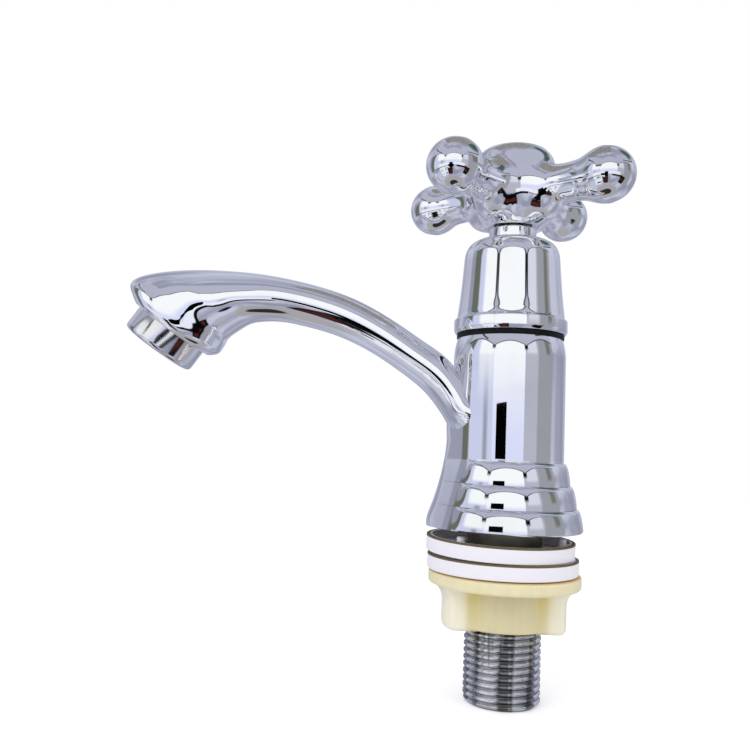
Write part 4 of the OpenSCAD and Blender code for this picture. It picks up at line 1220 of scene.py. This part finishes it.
@dataclass
class Insides:
    """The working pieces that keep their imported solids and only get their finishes."""

    finishes: dict[Palette, tuple[str, ...]] = field(default_factory=lambda: {
        Palette.BRASS: ("headwork", "spindle"),
        Palette.SPRING_STEEL: ("spindle_clip", "handle_screw"),
        Palette.RUBBER: ("shank_seal", "headwork_seal", "spindle_orings", "seat_seal", "aerator_washer"),
        Palette.CERAMIC: ("moving_disc", "fixed_disc"),
        Palette.SLIPPERY: ("thrust_washer", "handle_insert"),
        Palette.WHITE_PLASTIC: ("aerator_insert",),
    })

    def dress(self, nodes: dict[str, bpy.types.Object]) -> None:
        """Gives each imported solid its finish."""
        for finish, names in self.finishes.items():
            for name in names:
                slots = nodes[name].data.materials
                slots.clear()
                slots.append(finish.value.material())
                LOG.info("%s: packed solid in %s", name, finish.value.name)


# Light, floor and camera


@dataclass(frozen=True)
class Panel:
    """One patch of the studio that the chrome reflects, in degrees from the camera's side.

    Attributes:
        left: Its left side.
        right: Its right side.
        low: Its lower side.
        high: Its upper side.
        colour: Its colour.
        soft: How wide the change at the left and right is.
        soft_high: How wide the change at the top and bottom is.
        arch: How much lower its corners are than its middle.
        slope: How much it sinks to the right, for each degree.
        lean: How much it shifts to the right, for each degree up.
    """

    left: float
    right: float
    low: float
    high: float
    colour: Colour
    soft: float = 3.0
    soft_high: float = 3.0
    arch: float = 0.0
    slope: float = 0.0
    lean: float = 0.0


@dataclass
class Studio:
    """The plain soft studio: what the camera, the matt surfaces and the chrome each see of it."""

    facing: float = -8.0
    plain: Colour = (0.80, 0.80, 0.83)
    floor_z: float = -46.6
    aim: tuple[float, float, float] = (0, -0.03, 0.02)

    def panels(self) -> list[Panel]:
        """Returns the reflected room's patches, from the widest to the smallest."""
        sky, white = seen(178, 182, 200), seen(250, 253, 255)
        dark, shade, olive = seen(10, 10, 12), seen(56, 58, 60), seen(104, 109, 98)
        umber, teal = seen(84, 34, 28), seen(74, 92, 92)
        return [
            # Walls, by direction from left to right
            Panel(-86, -32, -14, 36, seen(202, 207, 235), 6, 3),
            Panel(-104, -86, -13, 33, olive, 5, 4, 0, 0, 0.4),
            Panel(-51, -42, -14, 5, seen(150, 158, 172), 7, 8),
            Panel(-32, 33, -14, 36, seen(217, 222, 250), 3, 3),
            Panel(33, 61, -14, 36, seen(180, 182, 196), 3, 3),
            Panel(61, 97, -36, 36, seen(153, 156, 164), 6, 6),
            Panel(80, 90, 9, 36, seen(116, 118, 112), 5, 6),
            Panel(100, 140, 36, 62, teal, 14, 12),
            Panel(-64, -31, 6, 36, white, 8, 7),
            Panel(-31, 32, 4, 36, white, 2, 9),
            Panel(36, 58, 9, 36, seen(214, 217, 230), 4, 7),
            # Dark jambs between the windows, and the arches that close them under a pale ceiling
            Panel(-36, -29, 17, 36, shade, 2, 6),
            Panel(31, 38, 15, 36, dark, 2, 6),
            *(Panel(left, right, low + inset, top, colour, 1, soft, 9)
              for left, right, low in ((-94, -31.5, 29.5), (-31.5, 34.5, 30.5), (34.5, 98, 29.5))
              for inset, top, colour, soft in ((0, 42, shade, 1.2), (1.5, 56, sky, 2))),
            # Under the windows: a pale sill, a dark gap and the dark block in front of them
            Panel(-64, 46, -19, -6, seen(236, 240, 250), 4, 4),
            Panel(-64, -2, -52, -17, seen(232, 236, 246), 5, 4),
            Panel(-80, 14, -18.5, -16.4, seen(22, 22, 25), 3, 1),
            Panel(13, 58, -22.5, -16, seen(14, 14, 16), 5, 2),
            Panel(50, 74, -42, -17, dark, 5, 4),
            Panel(55, 67, -34, -24, umber, 4, 4),
            Panel(-17, -3, -28, -6, dark, 2, 2),
            Panel(-27, -2, -52, -27, dark, 6, 6),
            Panel(-21, -7, -47, -34, umber, 5, 5),
            # Two thin rods under the ceiling
            Panel(-97, -50, 37, 39.5, seen(62, 64, 48), 2, 1, 0, 0.28),
            Panel(62, 118, 33, 35.5, seen(62, 64, 48), 2, 1, 0, 0.12),
        ]

    def room(self, graph: Graph) -> Signal:
        """Returns the colour that the chrome reflects in each direction."""
        way = graph.node("ShaderNodeTexCoord", output="Generated")
        across, along, up = graph.split(graph.moved(way, turn=(0, 0, math.radians(-self.facing))))
        turned, rise = along.arctangent(across) * math.degrees(1), up.arcsine() * math.degrees(1)
        colour = graph.mix(rise.rise(-79, -75), seen(46, 44, 48), seen(168, 166, 168))
        haze = graph.noise(way, 1.9, 3.0, 0.5).rise(0.36, 0.64)
        colour = graph.mix(rise.rise(-64, -54), colour, graph.mix(haze, seen(148, 151, 170), seen(196, 200, 219)))
        for panel in self.panels():
            middle, half = (panel.left + panel.right) / 2, (panel.right - panel.left) / 2
            course = turned - rise * panel.lean if panel.lean else turned
            share = course.between(panel.left, panel.right, panel.soft)
            level = rise + (turned - middle) * panel.slope if panel.slope else rise
            if panel.arch:
                level = level + ((turned - middle) * (1 / half)) ** 2 * panel.arch
            share = share * level.between(panel.low, panel.high, panel.soft_high)
            colour = graph.mix(share, colour, panel.colour)
        lumps = graph.noise(way, 9.0, 5.0, 0.7)
        clutter = turned.between(-60, -4, 8) * rise.between(-54, -22, 8) * lumps.rise(0.53, 0.57)
        return graph.mix(clutter, colour, seen(22, 22, 26))

    def light(self) -> None:
        """Makes the world and two soft lamps."""
        world = bpy.data.worlds.new("studio")
        bpy.context.scene.world = world
        world.use_nodes = True
        graph = Graph(world.node_tree)
        path = graph.node("ShaderNodeLightPath").socket.node
        camera, glossy = (Signal(graph, path.outputs[name]) for name in ("Is Camera Ray", "Is Glossy Ray"))
        colour = graph.mix(glossy, self.plain, self.room(graph))
        colour = graph.mix(camera, colour, WHITE)
        sky = graph.node("ShaderNodeBackground", None, {"Color": colour, "Strength": 1.0})
        graph.node("ShaderNodeOutputWorld", None, {"Surface": sky})
        for name, place, power, size in (("key", (0.45, -0.35, 0.5), 1.5, 0.5),
                                         ("fill", (0.3, 0.5, 0.35), 0.65, 0.6)):
            lamp = bpy.data.lights.new(name, "AREA")
            lamp.energy = power
            lamp.size = size
            holder = added(name, lamp)
            holder.location = place
            holder.rotation_euler = (Vector(place) - Vector(self.aim)).to_track_quat("Z", "Y").to_euler()
            holder.visible_glossy = False
        LOG.info("studio: %d panels", len(self.panels()))

    def lay_floor(self) -> None:
        """Lays the plain pale floor that the tail stands on."""
        shape = Shape()
        bmesh.ops.create_circle(shape.bm, cap_ends=True, segments=96, radius=3000.0,
                                matrix=Matrix.Translation((0, 0, self.floor_z - 0.02)))
        floor = added("studio_floor", shape.mesh("studio_floor"))
        floor.data.materials.append(Palette.FLOOR.value.material())
        floor.visible_glossy = False

    def stand_card(self, name: str, finish: Palette, size: Point, side: float, height: float, away: float,
                   flat: bool = False) -> None:
        """Stands a card near the tap, or lays it flat over it, which only the chrome sees.

        Args:
            name: The card's name.
            finish: Its finish.
            size: Its width and height.
            side: How far right of the camera's line its middle is.
            height: The height of its middle.
            away: How far it is from the tap's axis, towards the camera.
            flat: Whether it lies flat.
        """
        shape = Shape()
        bmesh.ops.create_grid(shape.bm, x_segments=1, y_segments=1, size=0.5)
        tip = Matrix.Identity(4) if flat else spun(90, "Y")
        shape.move(shape.bm.verts, spun(self.facing) @ Matrix.Translation((away, side, height))
                   @ tip @ Matrix.Diagonal((size[1], size[0], 1, 1)))
        card = added(name, shape.mesh(name))
        card.data.materials.append(finish.value.material())
        card.visible_camera = card.visible_diffuse = card.visible_shadow = card.visible_transmission = False

    def build(self) -> None:
        """Makes the light, the floor and the cards."""
        self.light()
        self.lay_floor()
        self.stand_card("dark_card", Palette.DARK_CARD, (82, 35), -52, 29.0, 222)
        self.stand_card("roof_card", Palette.ROOF_CARD, (84, 72), -6, 186, 4, True)


@dataclass
class Camera:
    """The camera at the photograph's viewing angle."""

    place: tuple[float, float, float] = (223.17, -31.36, 21.78)
    ahead: tuple[float, float, float] = (-0.9958, -0.0294, 0.0871)
    upward: tuple[float, float, float] = (0.0882, -0.0385, 0.9954)
    focal: float = 788.0
    frame: float = 750.0
    sensor: float = 36.0

    def build(self) -> None:
        """Sets the camera up."""
        data = bpy.data.cameras.new("camera")
        data.sensor_fit = "HORIZONTAL"
        data.sensor_width = self.sensor
        data.lens = self.sensor * self.focal / self.frame
        data.clip_start, data.clip_end = 0.005, 20.0
        back = -Vector(self.ahead).normalized()
        right = Vector(self.upward).cross(back).normalized()
        holder = added("camera", data)
        holder.matrix_world = Matrix.Translation(Vector(self.place) * MM) @ Matrix(
            (right, back.cross(right), back)).transposed().to_4x4()
        bpy.context.scene.camera = holder


def main() -> None:
    """Builds the tap's looks piece by piece."""
    logging.basicConfig(level=logging.INFO, format="%(name)s %(message)s")
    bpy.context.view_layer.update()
    bpy.context.scene.view_settings.view_transform = "Standard"
    Camera().build()
    Studio().build()
    Body().build()
    Bonnet().build()
    Handle().build()
    Aerator().build()
    Tail().build()
    Washer("upper_washer_cup", "upper_washer", 20.4, 4.2, -2.6, 1.3, 1.4, 3).build()
    Washer("lower_washer_cup", "lower_washer", 20.7, 4.1, -7.361, 0.6).build()
    WingNut().build()
    Insides().dress(frame["nodes"])


if __name__ == "__main__":
    main()
